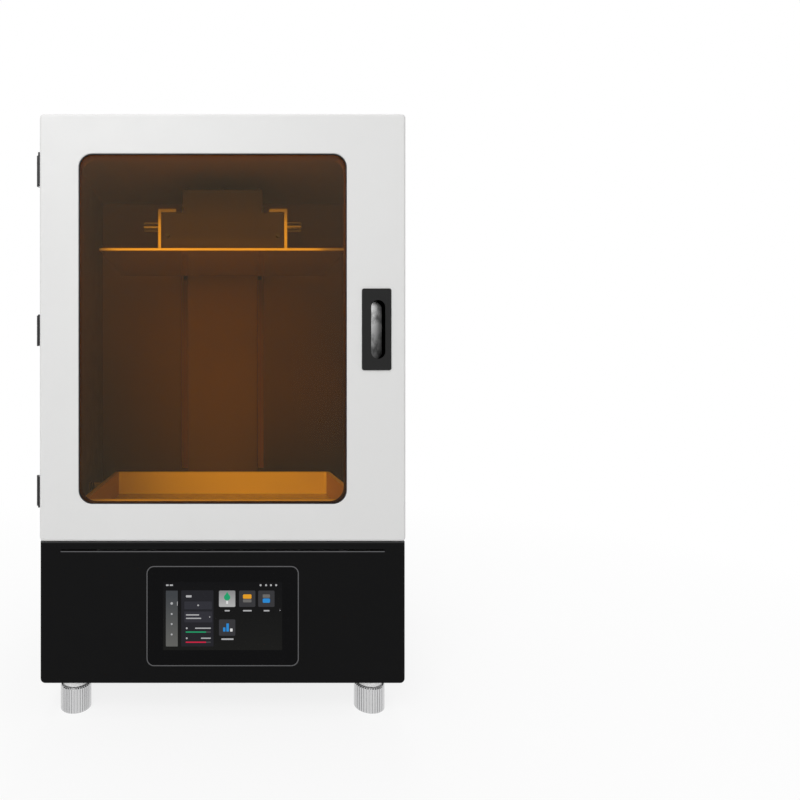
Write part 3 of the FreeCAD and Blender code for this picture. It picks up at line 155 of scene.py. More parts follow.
def amber_pane():
    """The amber sheet: tinted and clear, with a weak gloss on both faces."""
    mat, tree, shader = material("amber_pane")
    where = place(tree)
    clear = tree.nodes.new("ShaderNodeBsdfTransparent")
    mix_tint = tree.nodes.new("ShaderNodeMix")
    mix_tint.data_type = "RGBA"
    mix_tint.inputs["A"].default_value = (0.98, 0.755, 0.3, 1)
    mix_tint.inputs["B"].default_value = (0.995, 0.77, 0.31, 1)
    tree.links.new(noise(tree, where, 3.0), mix_tint.inputs["Factor"])
    tree.links.new(mix_tint.outputs["Result"], clear.inputs["Color"])
    gloss = tree.nodes.new("ShaderNodeBsdfGlossy")
    gloss.inputs["Color"].default_value = (1, 1, 1, 1)
    tree.links.new(spread(tree, noise(tree, where, 60.0), 0.03, 0.07), gloss.inputs["Roughness"])
    bump(tree, gloss, noise(tree, where, 8.0), 0.02, 0.001)
    weight = tree.nodes.new("ShaderNodeLayerWeight")
    weight.inputs["Blend"].default_value = 0.1
    share = tree.nodes.new("ShaderNodeMapRange")
    share.inputs["To Min"].default_value = 0.012
    share.inputs["To Max"].default_value = 0.5
    tree.links.new(weight.outputs["Facing"], share.inputs["Value"])
    mix = tree.nodes.new("ShaderNodeMixShader")
    tree.links.new(share.outputs["Result"], mix.inputs["Fac"])
    tree.links.new(clear.outputs["BSDF"], mix.inputs[1])
    tree.links.new(gloss.outputs["BSDF"], mix.inputs[2])
    tree.nodes.remove(shader)
    tree.links.new(mix.outputs["Shader"], tree.nodes["Material Output"].inputs["Surface"])
    return mat


def clear_film():
    """The thin, slightly milky film of the vat."""
    mat, tree, shader = material("clear_film")
    where = place(tree)
    tint(tree, shader, noise(tree, where, 20.0), (0.86, 0.82, 0.74), 0.05)
    tree.links.new(spread(tree, noise(tree, where, 30.0), 0.08, 0.18), shader.inputs["Roughness"])
    bump(tree, shader, noise(tree, where, 12.0), 0.05, 0.001)
    shader.inputs["Alpha"].default_value = 0.55
    return mat


# Where painted shade and painted light change the tones of the painted and bare pieces, in metres
PAINTED_SHADE_START = 0.0
PAINTED_SHADE_END = 0.11
PAINTED_LIGHT_START = 0.05
CHANNEL_HALF = 0.0725
EDGE_BLUR = 0.001
SKIN_START = 0.0001
SKIN_END = 0.0003
VAT_WALL = 0.008
PULL_SHADE = 0.006
SLOT_WALL_START = 0.0006
SLOT_WALL_END = 0.0022


def chamber_paint_and_shade(name, low_colour, painted_light_colour):
    """Dark paint of the chamber, with painted light that makes it paler towards the ceiling and painted
    shade that makes it darkest at the lower right.
    """
    mat = coated(name, low_colour, 0.55, 300.0, 0.01, 0.06, shine=0.2)
    tree = mat.node_tree
    low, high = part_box("chamber_wall")
    # painted shade: darker to the right of the middle
    blended(mat, along(tree, "X", PAINTED_SHADE_START, PAINTED_SHADE_END), (0.35, 0.35, 0.35), "MULTIPLY")
    # painted light: paler towards the ceiling
    blended(mat, along(tree, "Z", low[2] + PAINTED_LIGHT_START, high[2]), painted_light_colour)
    return mat


def lift_wall_light_and_shade():
    """The back wall's paint, with painted light that makes the raised channel in the middle paler."""
    mat = chamber_paint_and_shade("lift_wall_light_and_shade", (0.05, 0.038, 0.037), (0.235, 0.158, 0.148))
    tree = mat.node_tree
    both = tree.nodes.new("ShaderNodeMath")
    both.operation = "MULTIPLY"
    for socket, side in zip(both.inputs, (-1, 1)):
        edge = along(tree, "X", side * (CHANNEL_HALF + EDGE_BLUR), side * (CHANNEL_HALF - EDGE_BLUR))
        tree.links.new(edge, socket)
    # painted light: the channel in the middle is paler
    blended(mat, both.outputs["Value"], (0.04, 0.03, 0.025), "ADD")
    return mat


def cover_paint_and_light_tint():
    """White paint outside, and a reddish painted tint on the inner face of the back cover that stands in
    for amber-filtered light.
    """
    mat = coated("cover_paint_and_light_tint", (0.68, 0.68, 0.675), 0.45, 900.0, 0.05, 0.012)
    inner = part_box("cabinet_cover")[0][1]
    # painted light tint: reddish inner face standing in for amber-filtered light
    blended(mat, along(mat.node_tree, "Y", inner + SKIN_END, inner + SKIN_START), (0.7, 0.41, 0.36))
    return mat


def plate_metal():
    """The bright plate, with painted shade that makes its underside darker and redder."""
    mat = machined("plate_metal", (0.93, 0.93, 0.92), 0.2, (0.04, 1, 1), 100.0, 0.01, metal=0.6)
    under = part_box("build_plate")[0][2]
    # painted shade on the plate's underside
    blended(mat, along(mat.node_tree, "Z", under + SKIN_END, under + SKIN_START), (0.5, 0.38, 0.35))
    return mat


def vat_metal():
    """Pale metal of the vat, with painted shade that darkens the inner faces of its side walls to brown."""
    mat = machined("vat_metal", (0.95, 0.94, 0.92), 0.42, (0.05, 1, 1), 200.0, 0.02, 0.03, metal=0.15)
    tree = mat.node_tree
    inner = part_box("release_film")[1][0] - VAT_WALL
    for side in (-1, 1):
        near = along(tree, "X", side * (inner - SKIN_END), side * (inner - SKIN_START))
        past = along(tree, "X", side * (inner + SKIN_START), side * (inner + SKIN_END))
        band = tree.nodes.new("ShaderNodeMath")
        band.operation = "SUBTRACT"
        tree.links.new(near, band.inputs[0])
        tree.links.new(past, band.inputs[1])
        # painted shade on the inner faces of the side walls
        blended(mat, band.outputs["Value"], (0.6, 0.38, 0.27), "MULTIPLY")
    return mat


def pull_bottom():
    """Worn, patchy metal, with painted shade that darkens it towards the foot and the right of the finger
    slot.
    """
    mat = machined("pull_metal", (0.85, 0.85, 0.85), 0.33, (1, 1, 0.4), 60.0, 0.35, 0.25)
    tree = mat.node_tree
    low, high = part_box("handle_bottom")
    middle = (low[0] + high[0]) / 2
    patches = noise(tree, place(tree, (1, 1, 0.6)), 95.0, 4.0)
    # painted shade: darker towards the foot
    blended(mat, along(tree, "Z", high[2], low[2]), (0.09, 0.09, 0.09))
    blended(mat, spread(tree, patches, -0.9, 1.3), (0.3, 0.3, 0.3), "MULTIPLY")
    # painted shade: darker towards the right of the finger slot
    blended(mat, along(tree, "X", middle - PULL_SHADE, middle + PULL_SHADE), (0.6, 0.6, 0.6), "MULTIPLY")
    return mat


def bezel_plastic():
    """Black plastic, with painted shade that turns it deep, dull black down the walls of the finger slot
    and takes its sheen away there.
    """
    mat = coated("bezel_plastic", (0.013, 0.013, 0.013), 0.5, 1600.0, 0.18, 0.08, shine=0.15)
    tree = mat.node_tree
    shader = tree.nodes["Principled BSDF"]
    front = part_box("handle_bezel")[0][1]
    # painted shade: deeper black and no sheen down the walls of the finger slot
    depth = along(tree, "Y", front + SLOT_WALL_START, front + SLOT_WALL_END)
    blended(mat, depth, (0.0008, 0.0008, 0.0008))
    tree.links.new(spread(tree, depth, 0.15, 0.0), shader.inputs["Specular IOR Level"])
    return mat


def threaded():
    """Bright steel with the fine turns of a thread along the height."""
    mat = machined("threaded", (0.58, 0.58, 0.59), 0.22, (1, 1, 0.04), 600.0, 0.08)
    tree = mat.node_tree
    shader = tree.nodes["Principled BSDF"]
    turns = tree.nodes.new("ShaderNodeTexWave")
    turns.bands_direction = "Z"
    turns.inputs["Scale"].default_value = 60.0
    tree.links.new(place(tree), turns.inputs["Vector"])
    bump(tree, shader, turns.outputs["Fac"], 0.9, 0.0015)
    return mat


def screen_light(name, colour, foot=None):
    """A lit area of the display, with the faint grid of its dots and a fade towards its foot."""
    mat, tree, shader = material(name)
    where = place(tree)
    grid = tree.nodes.new("ShaderNodeTexChecker")
    grid.inputs["Scale"].default_value = 2200.0
    grid.inputs["Color1"].default_value = [c * 0.95 for c in colour] + [1]
    grid.inputs["Color2"].default_value = [min(1, c * 1.03) for c in colour] + [1]
    tree.links.new(where, grid.inputs["Vector"])
    glow = grid.outputs["Color"]
    if foot is not None:
        fade = tree.nodes.new("ShaderNodeMix")
        fade.data_type = "RGBA"
        fade.inputs["B"].default_value = list(foot[0]) + [1]
        tree.links.new(along(tree, "Z", foot[1], foot[2]), fade.inputs["Factor"])
        tree.links.new(glow, fade.inputs["A"])
        glow = fade.outputs["Result"]
    shader.inputs["Base Color"].default_value = (0.004, 0.004, 0.004, 1)
    tree.links.new(glow, shader.inputs["Emission Color"])
    shader.inputs["Emission Strength"].default_value = 1.0
    tree.links.new(spread(tree, noise(tree, where, 80.0), 0.22, 0.3), shader.inputs["Roughness"])
    bump(tree, shader, noise(tree, where, 200.0), 0.01, 0.0004)
    shader.inputs["Specular IOR Level"].default_value = 0.05
    return mat


WHITE_PAINT = coated("white_paint", (0.68, 0.68, 0.675), 0.45, 900.0, 0.05, 0.012)
BLACK_PAINT = coated("black_paint", (0.0042, 0.0042, 0.0044), 0.5, 1200.0, 0.16, 0.08, shine=0.06)
LINER_PAINT_AND_SHADE = chamber_paint_and_shade("liner_paint_and_shade", (0.06, 0.046, 0.045), (0.235, 0.158, 0.148))
DECK_PAINT = coated("deck_paint", (0.03, 0.03, 0.03), 0.5, 900.0, 0.12, 0.08, shine=0.2)
RUBBER = coated("rubber", (0.012, 0.012, 0.012), 0.7, 1400.0, 0.25, 0.12)
TRIM_RUBBER = coated("trim_rubber", (0.008, 0.008, 0.008), 0.55, 1400.0, 0.2, 0.1)
BLACK_PLASTIC = coated("black_plastic", (0.013, 0.013, 0.013), 0.5, 1600.0, 0.18, 0.08, shine=0.15)
GREY_PLASTIC = coated("grey_plastic", (0.16, 0.16, 0.165), 0.5, 1600.0, 0.18, 0.05)
GREEN_BOARD = coated("green_board", (0.02, 0.12, 0.05), 0.35, 300.0, 0.2, 0.2)
WHITE_BOARD = coated("white_board", (0.75, 0.75, 0.73), 0.4, 400.0, 0.1, 0.05)
BLACK_STEEL = coated("black_steel", (0.018, 0.018, 0.019), 0.38, 800.0, 0.15, 0.12, 0.6)
ZINC = machined("zinc", (0.55, 0.56, 0.57), 0.42, (1, 1, 1), 120.0, 0.1, 0.1)
ALUMINIUM = machined("aluminium", (0.66, 0.66, 0.665), 0.24, (1, 1, 0.03), 700.0, 0.1)
FLAT_ALUMINIUM = machined("flat_aluminium", (0.9, 0.9, 0.89), 0.36, (0.04, 1, 1), 400.0, 0.06, metal=0.7)
BRIGHT_ALUMINIUM = machined("bright_aluminium", (0.93, 0.93, 0.92), 0.2, (0.04, 1, 1), 100.0, 0.01,
                            metal=0.6)
NUT_METAL = machined("nut_metal", (0.94, 0.94, 0.94), 0.3, (1, 1, 0.04), 600.0, 0.06, metal=0.2)
VAT_METAL = vat_metal()
DARK_ANODISED = machined("dark_anodised", (0.075, 0.062, 0.06), 0.45, (0.05, 1, 1), 80.0, 0.01, metal=0.4)
KNOB_METAL = machined("knob_metal", (0.42, 0.42, 0.42), 0.3, (0.04, 1, 1), 300.0, 0.06)
STEEL = machined("steel", (0.60, 0.60, 0.61), 0.24, (1, 1, 0.04), 600.0, 0.08)
FRAME_METAL = machined("frame_metal", (0.12, 0.12, 0.124), 0.45, (1, 1, 1), 500.0, 0.08)
SCREEN_BLACK = coated("screen_black", (0.003, 0.003, 0.0034), 0.25, 300.0, 0.01, 0.1, shine=0.05)
EXPOSURE_GLASS = coated("exposure_glass", (0.02, 0.02, 0.028), 0.12, 200.0, 0.01, 0.1)
AMBER = amber_pane()
WALL_PAINT_LIGHT_AND_SHADE = lift_wall_light_and_shade()
PLATE_METAL = plate_metal()
COVER_PAINT_AND_LIGHT_TINT = cover_paint_and_light_tint()
PULL_METAL = pull_bottom()
BEZEL_PLASTIC = bezel_plastic()
THREADED = threaded()
FILM = clear_film()

FINISH = {
    "base_tub": BLACK_PAINT, "base_rear_panel": BLACK_PAINT, "foot_nuts": NUT_METAL,
    "deck_plate": DECK_PAINT, "vat_pins": STEEL, "exposure_screen": EXPOSURE_GLASS,
    "light_box": FLAT_ALUMINIUM, "lamp_board": WHITE_BOARD, "heat_sink": FLAT_ALUMINIUM,
    "power_supply": ZINC, "main_board": GREEN_BOARD, "screen_frame": FRAME_METAL,
    "touch_glass": SCREEN_BLACK, "display_module": BLACK_PLASTIC, "power_inlet": BLACK_PLASTIC,
    "power_rocker": GREY_PLASTIC, "data_socket": STEEL, "fan_frame": BLACK_PLASTIC,
    "fan_rotor": BLACK_PLASTIC, "cover_screws": BLACK_STEEL, "cabinet_shell": WHITE_PAINT,
    "cabinet_cover": COVER_PAINT_AND_LIGHT_TINT, "chamber_liner": LINER_PAINT_AND_SHADE, "chamber_wall": WALL_PAINT_LIGHT_AND_SHADE,
    "z_column": FLAT_ALUMINIUM, "z_rails": STEEL, "screw_bearings": BLACK_STEEL,
    "z_motor": BLACK_PLASTIC, "lift_screw": THREADED, "ball_nut": STEEL, "rail_blocks": STEEL,
    "z_carriage": DARK_ANODISED, "arm": DARK_ANODISED, "head_block": DARK_ANODISED,
    "head_screws": FRAME_METAL, "plate_hanger": BRIGHT_ALUMINIUM, "build_plate": PLATE_METAL,
    "clamp_knob_left": KNOB_METAL, "clamp_knob_right": KNOB_METAL, "vat_ring": VAT_METAL,
    "release_film": FILM, "vat_frame": VAT_METAL, "vat_screw_left": ALUMINIUM,
    "vat_screw_right": ALUMINIUM, "door_shell": WHITE_PAINT, "door_panel": LINER_PAINT_AND_SHADE,
    "door_window": AMBER, "window_trim": TRIM_RUBBER, "door_seal": RUBBER, "door_strikes": STEEL,
    "catch_magnets": BLACK_STEEL, "handle_bezel": BEZEL_PLASTIC, "handle_bottom": PULL_METAL,
    "hinge_cabinet_leaves": BLACK_STEEL, "hinge_door_leaves": BLACK_STEEL, "hinge_pins": STEEL,
    "foot_front_left": ALUMINIUM, "foot_front_right": ALUMINIUM, "foot_rear_left": ALUMINIUM,
    "foot_rear_right": ALUMINIUM,
}
for name, node in nodes.items():
    node.data.materials.clear()
    node.data.materials.append(FINISH[name])

# Mesh helpers

def add_piece(name, mesh, mat, body):
    """A new piece of the object that rides on a body."""
    obj = bpy.data.objects.new(name, mesh)
    bpy.context.scene.collection.objects.link(obj)
    mesh.materials.append(mat)
    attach(obj, body)
    return obj


def mesh_from(bm, name, smooth_angle=None):
    """A mesh from a bmesh, with faces smooth up to an angle."""
    bmesh.ops.recalc_face_normals(bm, faces=bm.faces)
    mesh = bpy.data.meshes.new(name)
    bm.to_mesh(mesh)
    bm.free()
    if smooth_angle is not None:
        mesh.shade_smooth()
        mesh.set_sharp_from_angle(angle=math.radians(smooth_angle))
    return mesh


def rounded_outline(x, z, radius, steps=6):
    """Points round a rectangle with round corners, in X and Z."""
    points = []
    for cx, cz, start in ((x[1], z[1], 0), (x[0], z[1], 90), (x[0], z[0], 180), (x[1], z[0], 270)):
        sx = 1 if start in (0, 270) else -1
        sz = 1 if start in (0, 90) else -1
        for i in range(steps + 1):
            angle = math.radians(start + 90 * i / steps)
            x_at = cx - sx * radius + radius * math.cos(angle)
            z_at = cz - sz * radius + radius * math.sin(angle)
            points.append((x_at, z_at))
    return points


def raised_plate(bm, points, y, lift):
    """A thin plate with an outline in X and Z whose front is a little before a face."""
    front = [bm.verts.new((px, y - lift, pz)) for px, pz in points]
    rear = [bm.verts.new((px, y, pz)) for px, pz in points]
    bm.faces.new(front)
    bm.faces.new(rear[::-1])
    count = len(points)
    for i in range(count):
        j = (i + 1) % count
        bm.faces.new((front[i], rear[i], rear[j], front[j]))


# Generic display design, in millimetres from the top left of the lit area

GLASS_LOW, GLASS_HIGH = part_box("touch_glass")
LIT_WIDTH = 0.1735
LIT_HEIGHT = 0.0995
LIT_LEFT = (GLASS_LOW[0] + GLASS_HIGH[0]) / 2 - LIT_WIDTH / 2
LIT_TOP = (GLASS_LOW[2] + GLASS_HIGH[2]) / 2 + LIT_HEIGHT / 2
LAYER = 0.00006


def on_screen(x, z):
    """A place on the display from millimetres right and down."""
    return LIT_LEFT + x / 1000, LIT_TOP - z / 1000


def bar(left, top, right, bottom, radius=1.0):
    """The outline of a rounded bar on the display."""
    x0, z1 = on_screen(left, top)
    x1, z0 = on_screen(right, bottom)
    limit = min(x1 - x0, z1 - z0) * 0.49
    return rounded_outline((x0, x1), (z0, z1), min(radius / 1000, limit))


def spot(x, z, radius, corners=20, turn=0.0):
    """The outline of a round or many-sided mark on the display."""
    cx, cz = on_screen(x, z)
    steps = [math.radians(turn) + 2 * math.pi * i / corners for i in range(corners)]
    return [(cx + radius / 1000 * math.cos(a), cz + radius / 1000 * math.sin(a)) for a in steps]


def display_part(name, outlines, layer, colour, foot=None):
    """Several marks of one colour on the display."""
    bm = bmesh.new()
    for outline in outlines:
        raised_plate(bm, outline, GLASS_LOW[1] - (layer - 1) * LAYER, LAYER)
    obj = add_piece(name, mesh_from(bm, name), screen_light(name, colour, foot), "chassis")


SIDE_MARKS = (31.4, 46.8, 61.5, 76.6)
STATUS_MARKS = (142.1, 150.1, 157.2, 164.8)
TILE_LEFTS = (81.4, 110.7, 138.6)
TILE_SIZE = 23.8
ROW_TOPS = (12.7, 54.8)


def height_at(z):
    """A height on the display from millimetres down."""
    return on_screen(0, z)[1]


def tile(left, top):
    """The outline of one square tile."""
    return bar(left, top, left + TILE_SIZE, top + TILE_SIZE, 1.8)


CAPTIONS = [bar(4.2, 3.7, 8.0, 5.9, 0.5), bar(9.6, 3.7, 14.2, 5.9, 0.5), bar(33.2, 19.5, 41.4, 22.6, 0.6),
            bar(20.2, 28.6, 21.0, 34.6, 0.3), bar(33.2, 47.3, 52.5, 49.0, 0.6),
            bar(33.2, 52.3, 55.5, 54.0, 0.6), bar(46.5, 66.7, 69.5, 68.4, 0.6),
            bar(55.0, 81.3, 69.5, 83.0, 0.6), bar(89.8, 41.0, 97.0, 43.0, 0.6),
            bar(116.5, 41.0, 129.0, 43.0, 0.6), bar(146.6, 41.0, 155.0, 43.0, 0.6),
            bar(85.0, 82.4, 102.6, 84.6, 0.6)]
POINTS = [spot(12.4, z, 2.0 if z == SIDE_MARKS[0] else 1.5, 6) for z in SIDE_MARKS]
POINTS += [spot(x, 4.8, 1.6, 6) for x in STATUS_MARKS]
POINTS += [spot(51.0, 34.2, 1.6, 4), spot(67.8, 51.2, 1.3, 3), spot(34.4, 67.6, 1.5, 6),
           spot(34.4, 82.2, 1.5, 6), spot(170.5, 41.4, 1.0, 3)]
TILES = [tile(left, ROW_TOPS[0]) for left in TILE_LEFTS[1:]] + [tile(TILE_LEFTS[0], ROW_TOPS[1])]

display_part("display_ground", [bar(0, 0, 173.5, 99.5, 0.5)], 1, (0.0006, 0.0006, 0.0014),
             ((0.0055, 0.0055, 0.0048), height_at(0), height_at(99)))
display_part("display_sidebar", [bar(3.9, 12.8, 21.2, 94.2, 0.8)], 2, (0.045, 0.05, 0.056),
             ((0.115, 0.115, 0.108), height_at(20), height_at(94)))
display_part("display_panel", [bar(26.3, 12.4, 73.4, 94.2, 1.5)], 2, (0.013, 0.013, 0.017))
display_part("display_buttons", [bar(30.9, 28.6, 71.0, 39.9), bar(30.9, 43.2, 71.5, 59.0)], 3,
             (0.026, 0.026, 0.034))
display_part("display_tiles", TILES, 2, (0.034, 0.034, 0.038))
display_part("display_tile_bright", [tile(TILE_LEFTS[0], ROW_TOPS[0])], 2, (0.24, 0.24, 0.245),
             ((0.42, 0.42, 0.42), height_at(14), height_at(35)))
display_part("display_marks", POINTS + CAPTIONS, 4, (0.42, 0.42, 0.43))
display_part("display_tracks", [bar(32.8, 72.3, 69.5, 74.0, 0.8), bar(32.8, 87.1, 69.5, 88.8, 0.8)], 3,
             (0.06, 0.06, 0.065))
display_part("display_green", [bar(32.8, 72.3, 62.6, 74.0, 0.8), spot(93.3, 22.5, 4.6, 24),
                               spot(93.3, 17.4, 3.0, 3, 90)], 4, (0.012, 0.33, 0.14))
display_part("display_red", [bar(32.8, 87.1, 62.6, 88.8, 0.8)], 4, (0.62, 0.012, 0.055))
display_part("display_pale", [bar(91.9, 27.6, 94.7, 32.0, 0.6), bar(97.6, 68.0, 101.2, 72.4, 0.6)], 4,
             (0.7, 0.7, 0.7))
display_part("display_orange", [bar(116.4, 18.2, 128.8, 24.4, 1.4)], 4, (0.75, 0.33, 0.015))
display_part("display_tray", [bar(116.4, 25.3, 128.8, 29.8, 1.2), bar(145.2, 18.2, 155.8, 23.2, 1.2)], 4,
             (0.14, 0.135, 0.13))
display_part("display_blue", [bar(145.2, 24.2, 155.8, 30.4, 1.6), bar(87.4, 66.4, 90.8, 72.4, 0.6),
                              bar(92.2, 60.6, 95.8, 72.4, 0.6)], 4, (0.02, 0.24, 0.62))

# Small pieces

HEAD_SIDES = 24
PAN_HEAD = ((1.0, 0.0), (1.0, 0.45), (0.86, 0.85), (0.6, 1.0), (0.48, 1.0), (0.44, 0.4), (0.0, 0.4))


def head_ring(bm, at, turn, radius, height):
    """A ring of points round a screw's axis."""
    ring = []
    for i in range(HEAD_SIDES):
        angle = 2 * math.pi * i / HEAD_SIDES
        point = Vector((radius * math.cos(angle), radius * math.sin(angle), height))
        ring.append(bm.verts.new(Vector(at) + turn @ point))
    return ring


def pan_heads(name, places, direction, size, mat, body):
    """Round screw heads with a socket, on a flat face."""
    radius, height = size
    bm = bmesh.new()
    turn = Vector((0, 0, 1)).rotation_difference(Vector(direction)).to_matrix()
    for at in places:
        rings = []
        for share, rise in PAN_HEAD:
            if share == 0:
                rings.append([bm.verts.new(Vector(at) + turn @ Vector((0, 0, rise * height)))])
                continue
            rings.append(head_ring(bm, at, turn, share * radius, rise * height))
        bm.faces.new(rings[0][::-1])
        for low, high in zip(rings[:-2], rings[1:-1]):
            for i in range(HEAD_SIDES):
                j = (i + 1) % HEAD_SIDES
                bm.faces.new((low[i], low[j], high[j], high[i]))
        for i in range(HEAD_SIDES):
            bm.faces.new((rings[-2][i], rings[-2][(i + 1) % HEAD_SIDES], rings[-1][0]))
    obj = add_piece(name, mesh_from(bm, name, 40), mat, body)
    return obj


def ends(node):
    """The two ends of a node in each direction."""
    low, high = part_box(node)
    return [(low[i], high[i]) for i in range(3)]


def evenly(first, last, count):
    """Places spread evenly from one end to the other."""
    return [first + (last - first) * i / (count - 1) for i in range(count)]


# Screw heads: radius and height, then their places on the pieces
HINGE_HEAD = (0.0029, 0.0009)
COVER_HEAD = (0.004, 0.0021)
PANEL_HEAD = (0.0035, 0.0016)
ARM_HEAD = (0.0042, 0.004)
LEAF = 0.003
HINGE_HALF = 0.0225
HINGE_SCREW_RISE = 0.0125
HINGE_SCREW_ROWS = (0.007, 0.020)
COVER_INSET = 0.009
COVER_FOOT_INSET = 0.018
REAR_INSET_X = 0.007
REAR_INSET_Z = 0.014
PANEL_MARGIN = 0.017
PANEL_END_X = 0.05
PANEL_END_Z = 0.06
ARM_INSET_X = 0.006
ARM_INSET_Y = 0.007
CARRIAGE_INSET = 0.007
CARRIAGE_TOP = 0.01
CARRIAGE_DROP = 0.012

shell = ends("cabinet_shell")
leaves = ends("hinge_cabinet_leaves")
hinge_heights = evenly(leaves[2][0] + HINGE_HALF, leaves[2][1] - HINGE_HALF, 3)
hinge_places = [(shell[0][0] - LEAF, leaves[1][1] - row, z + side * HINGE_SCREW_RISE) for z in hinge_heights
                for row in HINGE_SCREW_ROWS for side in (-1, 1)]
pan_heads("hinge_screws", hinge_places, (-1, 0, 0), HINGE_HEAD, STEEL, "chassis")

cover = ends("cabinet_cover")
rear = ends("base_rear_panel")
deck_top = ends("deck_plate")[2][1]
cover_places = [(side * (cover[0][1] - COVER_INSET), cover[1][1], z) for side in (-1, 1)
                for z in evenly(deck_top + COVER_FOOT_INSET, cover[2][1] - COVER_INSET, 4)]
cover_places += [(side * (rear[0][1] - REAR_INSET_X), rear[1][1], z) for side in (-1, 1)
                 for z in (rear[2][0] + REAR_INSET_Z, rear[2][1] - REAR_INSET_Z)]
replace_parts(pan_heads("cover_screw_heads", cover_places, (0, 1, 0), COVER_HEAD, BLACK_STEEL, "chassis"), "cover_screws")

window = ends("window_trim")
door_back = ends("door_shell")[1][1]
sides = (window[0][0] - PANEL_MARGIN, window[0][1] + PANEL_MARGIN)
heights = (window[2][0] - PANEL_MARGIN, window[2][1] + PANEL_MARGIN)
panel_places = [(x, door_back, z) for x in sides
                for z in evenly(heights[0] + PANEL_END_Z, heights[1] - PANEL_END_Z, 5)]
panel_places += [(x, door_back, z) for z in heights
                 for x in evenly(sides[0] + PANEL_END_X, sides[1] - PANEL_END_X, 4)]
pan_heads("door_panel_screws", panel_places, (0, 1, 0), PANEL_HEAD, BLACK_STEEL, "door")

arm = ends("arm")
carriage = ends("z_carriage")
arm_places = [(x, y, arm[2][1]) for x in (arm[0][0] + ARM_INSET_X, 0.0, arm[0][1] - ARM_INSET_X)
              for y in (arm[1][0] + ARM_INSET_Y, arm[1][1] - ARM_INSET_Y)]
pan_heads("arm_screws", arm_places, (0, 0, 1), ARM_HEAD, BLACK_STEEL, "lift")
carriage_places = [(x, carriage[1][0], z)
                   for x in (carriage[0][0] + CARRIAGE_INSET, carriage[0][1] - CARRIAGE_INSET)
                   for z in evenly(arm[2][0] - CARRIAGE_DROP, carriage[2][1] - CARRIAGE_TOP, 3)]
pan_heads("carriage_screws", carriage_places, (0, -1, 0), ARM_HEAD, BLACK_STEEL, "lift")

# Bright lip at the foot of the air slot
INTAKE_END = 0.030
INTAKE_LOW = 0.0119
LIP_HEIGHT = 0.0014
LIP_ROUND = 0.0005
LIP_LIFT = 0.0003

tub = ends("base_tub")
lip = bmesh.new()
lip_top = tub[2][1] - INTAKE_LOW
lip_x = (tub[0][0] + INTAKE_END, tub[0][1] - INTAKE_END)
lip_outline = rounded_outline(lip_x, (lip_top - LIP_HEIGHT, lip_top), LIP_ROUND)
raised_plate(lip, lip_outline, tub[1][0], LIP_LIFT)
add_piece("intake_lip", mesh_from(lip, "intake_lip"), FRAME_METAL, "chassis")


EDGE_ROUND = 0.0006
FINE_EDGE_ROUND = 0.0004


def soften(name, width):
    """Small rounds on the sharp edges of a piece, so that they catch the light."""
    weld = nodes[name].modifiers.new("weld", "WELD")
    weld.merge_threshold = 1e-6
    edge = nodes[name].modifiers.new("edge", "BEVEL")
    edge.width = width
    edge.segments = 2
    edge.limit_method = "ANGLE"
    edge.angle_limit = math.radians(50)


for name in ("plate_hanger", "head_block", "arm", "z_carriage", "vat_frame", "hinge_cabinet_leaves",
             "hinge_door_leaves"):
    soften(name, EDGE_ROUND)
for name in ("build_plate", "head_screws", "power_rocker", "deck_plate"):
    soften(name, FINE_EDGE_ROUND)

# Stage: floor, world, lamps and camera

FLOOR_HALF = 30.0
FADE_START = 0.2
FADE_END = 1.6
FADE_LEAST = 0.84


def floor():
    """A pale floor that fades into the white background away from the object."""
    bm = bmesh.new()
    bmesh.ops.create_grid(bm, x_segments=2, y_segments=2, size=FLOOR_HALF)
    obj = bpy.data.objects.new("floor", mesh_from(bm, "floor"))
    bpy.context.scene.collection.objects.link(obj)
    mat, tree, shader = material("floor_paint")
    where = place(tree)
    tint(tree, shader, noise(tree, where, 2.0), (0.82, 0.82, 0.82), 0.01)
    tree.links.new(spread(tree, noise(tree, where, 15.0), 0.85, 0.95), shader.inputs["Roughness"])
    bump(tree, shader, noise(tree, where, 60.0), 0.02, 0.001)
    shader.inputs["Specular IOR Level"].default_value = 0.1
    coords = tree.nodes.new("ShaderNodeTexCoord")
    length = tree.nodes.new("ShaderNodeVectorMath")
    length.operation = "LENGTH"
    tree.links.new(coords.outputs["Object"], length.inputs[0])
    fade = tree.nodes.new("ShaderNodeMapRange")
    fade.inputs["From Min"].default_value = FADE_START
    fade.inputs["From Max"].default_value = FADE_END
    fade.inputs["To Min"].default_value = FADE_LEAST
    fade.inputs["To Max"].default_value = 1.0
    tree.links.new(length.outputs["Value"], fade.inputs["Value"])
    seen = white_where_seen(tree)
    share = tree.nodes.new("ShaderNodeMath")
    share.operation = "MULTIPLY"
    tree.links.new(fade.outputs["Result"], share.inputs[0])
    tree.links.new(seen, share.inputs[1])
    white = tree.nodes.new("ShaderNodeEmission")
    white.inputs["Color"].default_value = (1, 1, 1, 1)
    white.inputs["Strength"].default_value = 1.0
    mix = tree.nodes.new("ShaderNodeMixShader")
    tree.links.new(share.outputs["Value"], mix.inputs["Fac"])
    tree.links.new(shader.outputs["BSDF"], mix.inputs[1])
    tree.links.new(white.outputs["Emission"], mix.inputs[2])
    tree.links.new(mix.outputs["Shader"], tree.nodes["Material Output"].inputs["Surface"])
    obj.data.materials.append(mat)


def white_where_seen(tree):
    """1 where the eye, a mirror or glass looks, 0 for soft light."""
    path = tree.nodes.new("ShaderNodeLightPath")
    total = None
    for kind in ("Is Camera Ray", "Is Glossy Ray", "Is Transmission Ray"):
        if total is None:
            total = path.outputs[kind]
            continue
        pick = tree.nodes.new("ShaderNodeMath")
        pick.operation = "MAXIMUM"
        tree.links.new(total, pick.inputs[0])
        tree.links.new(path.outputs[kind], pick.inputs[1])
        total = pick.outputs["Value"]
    return total


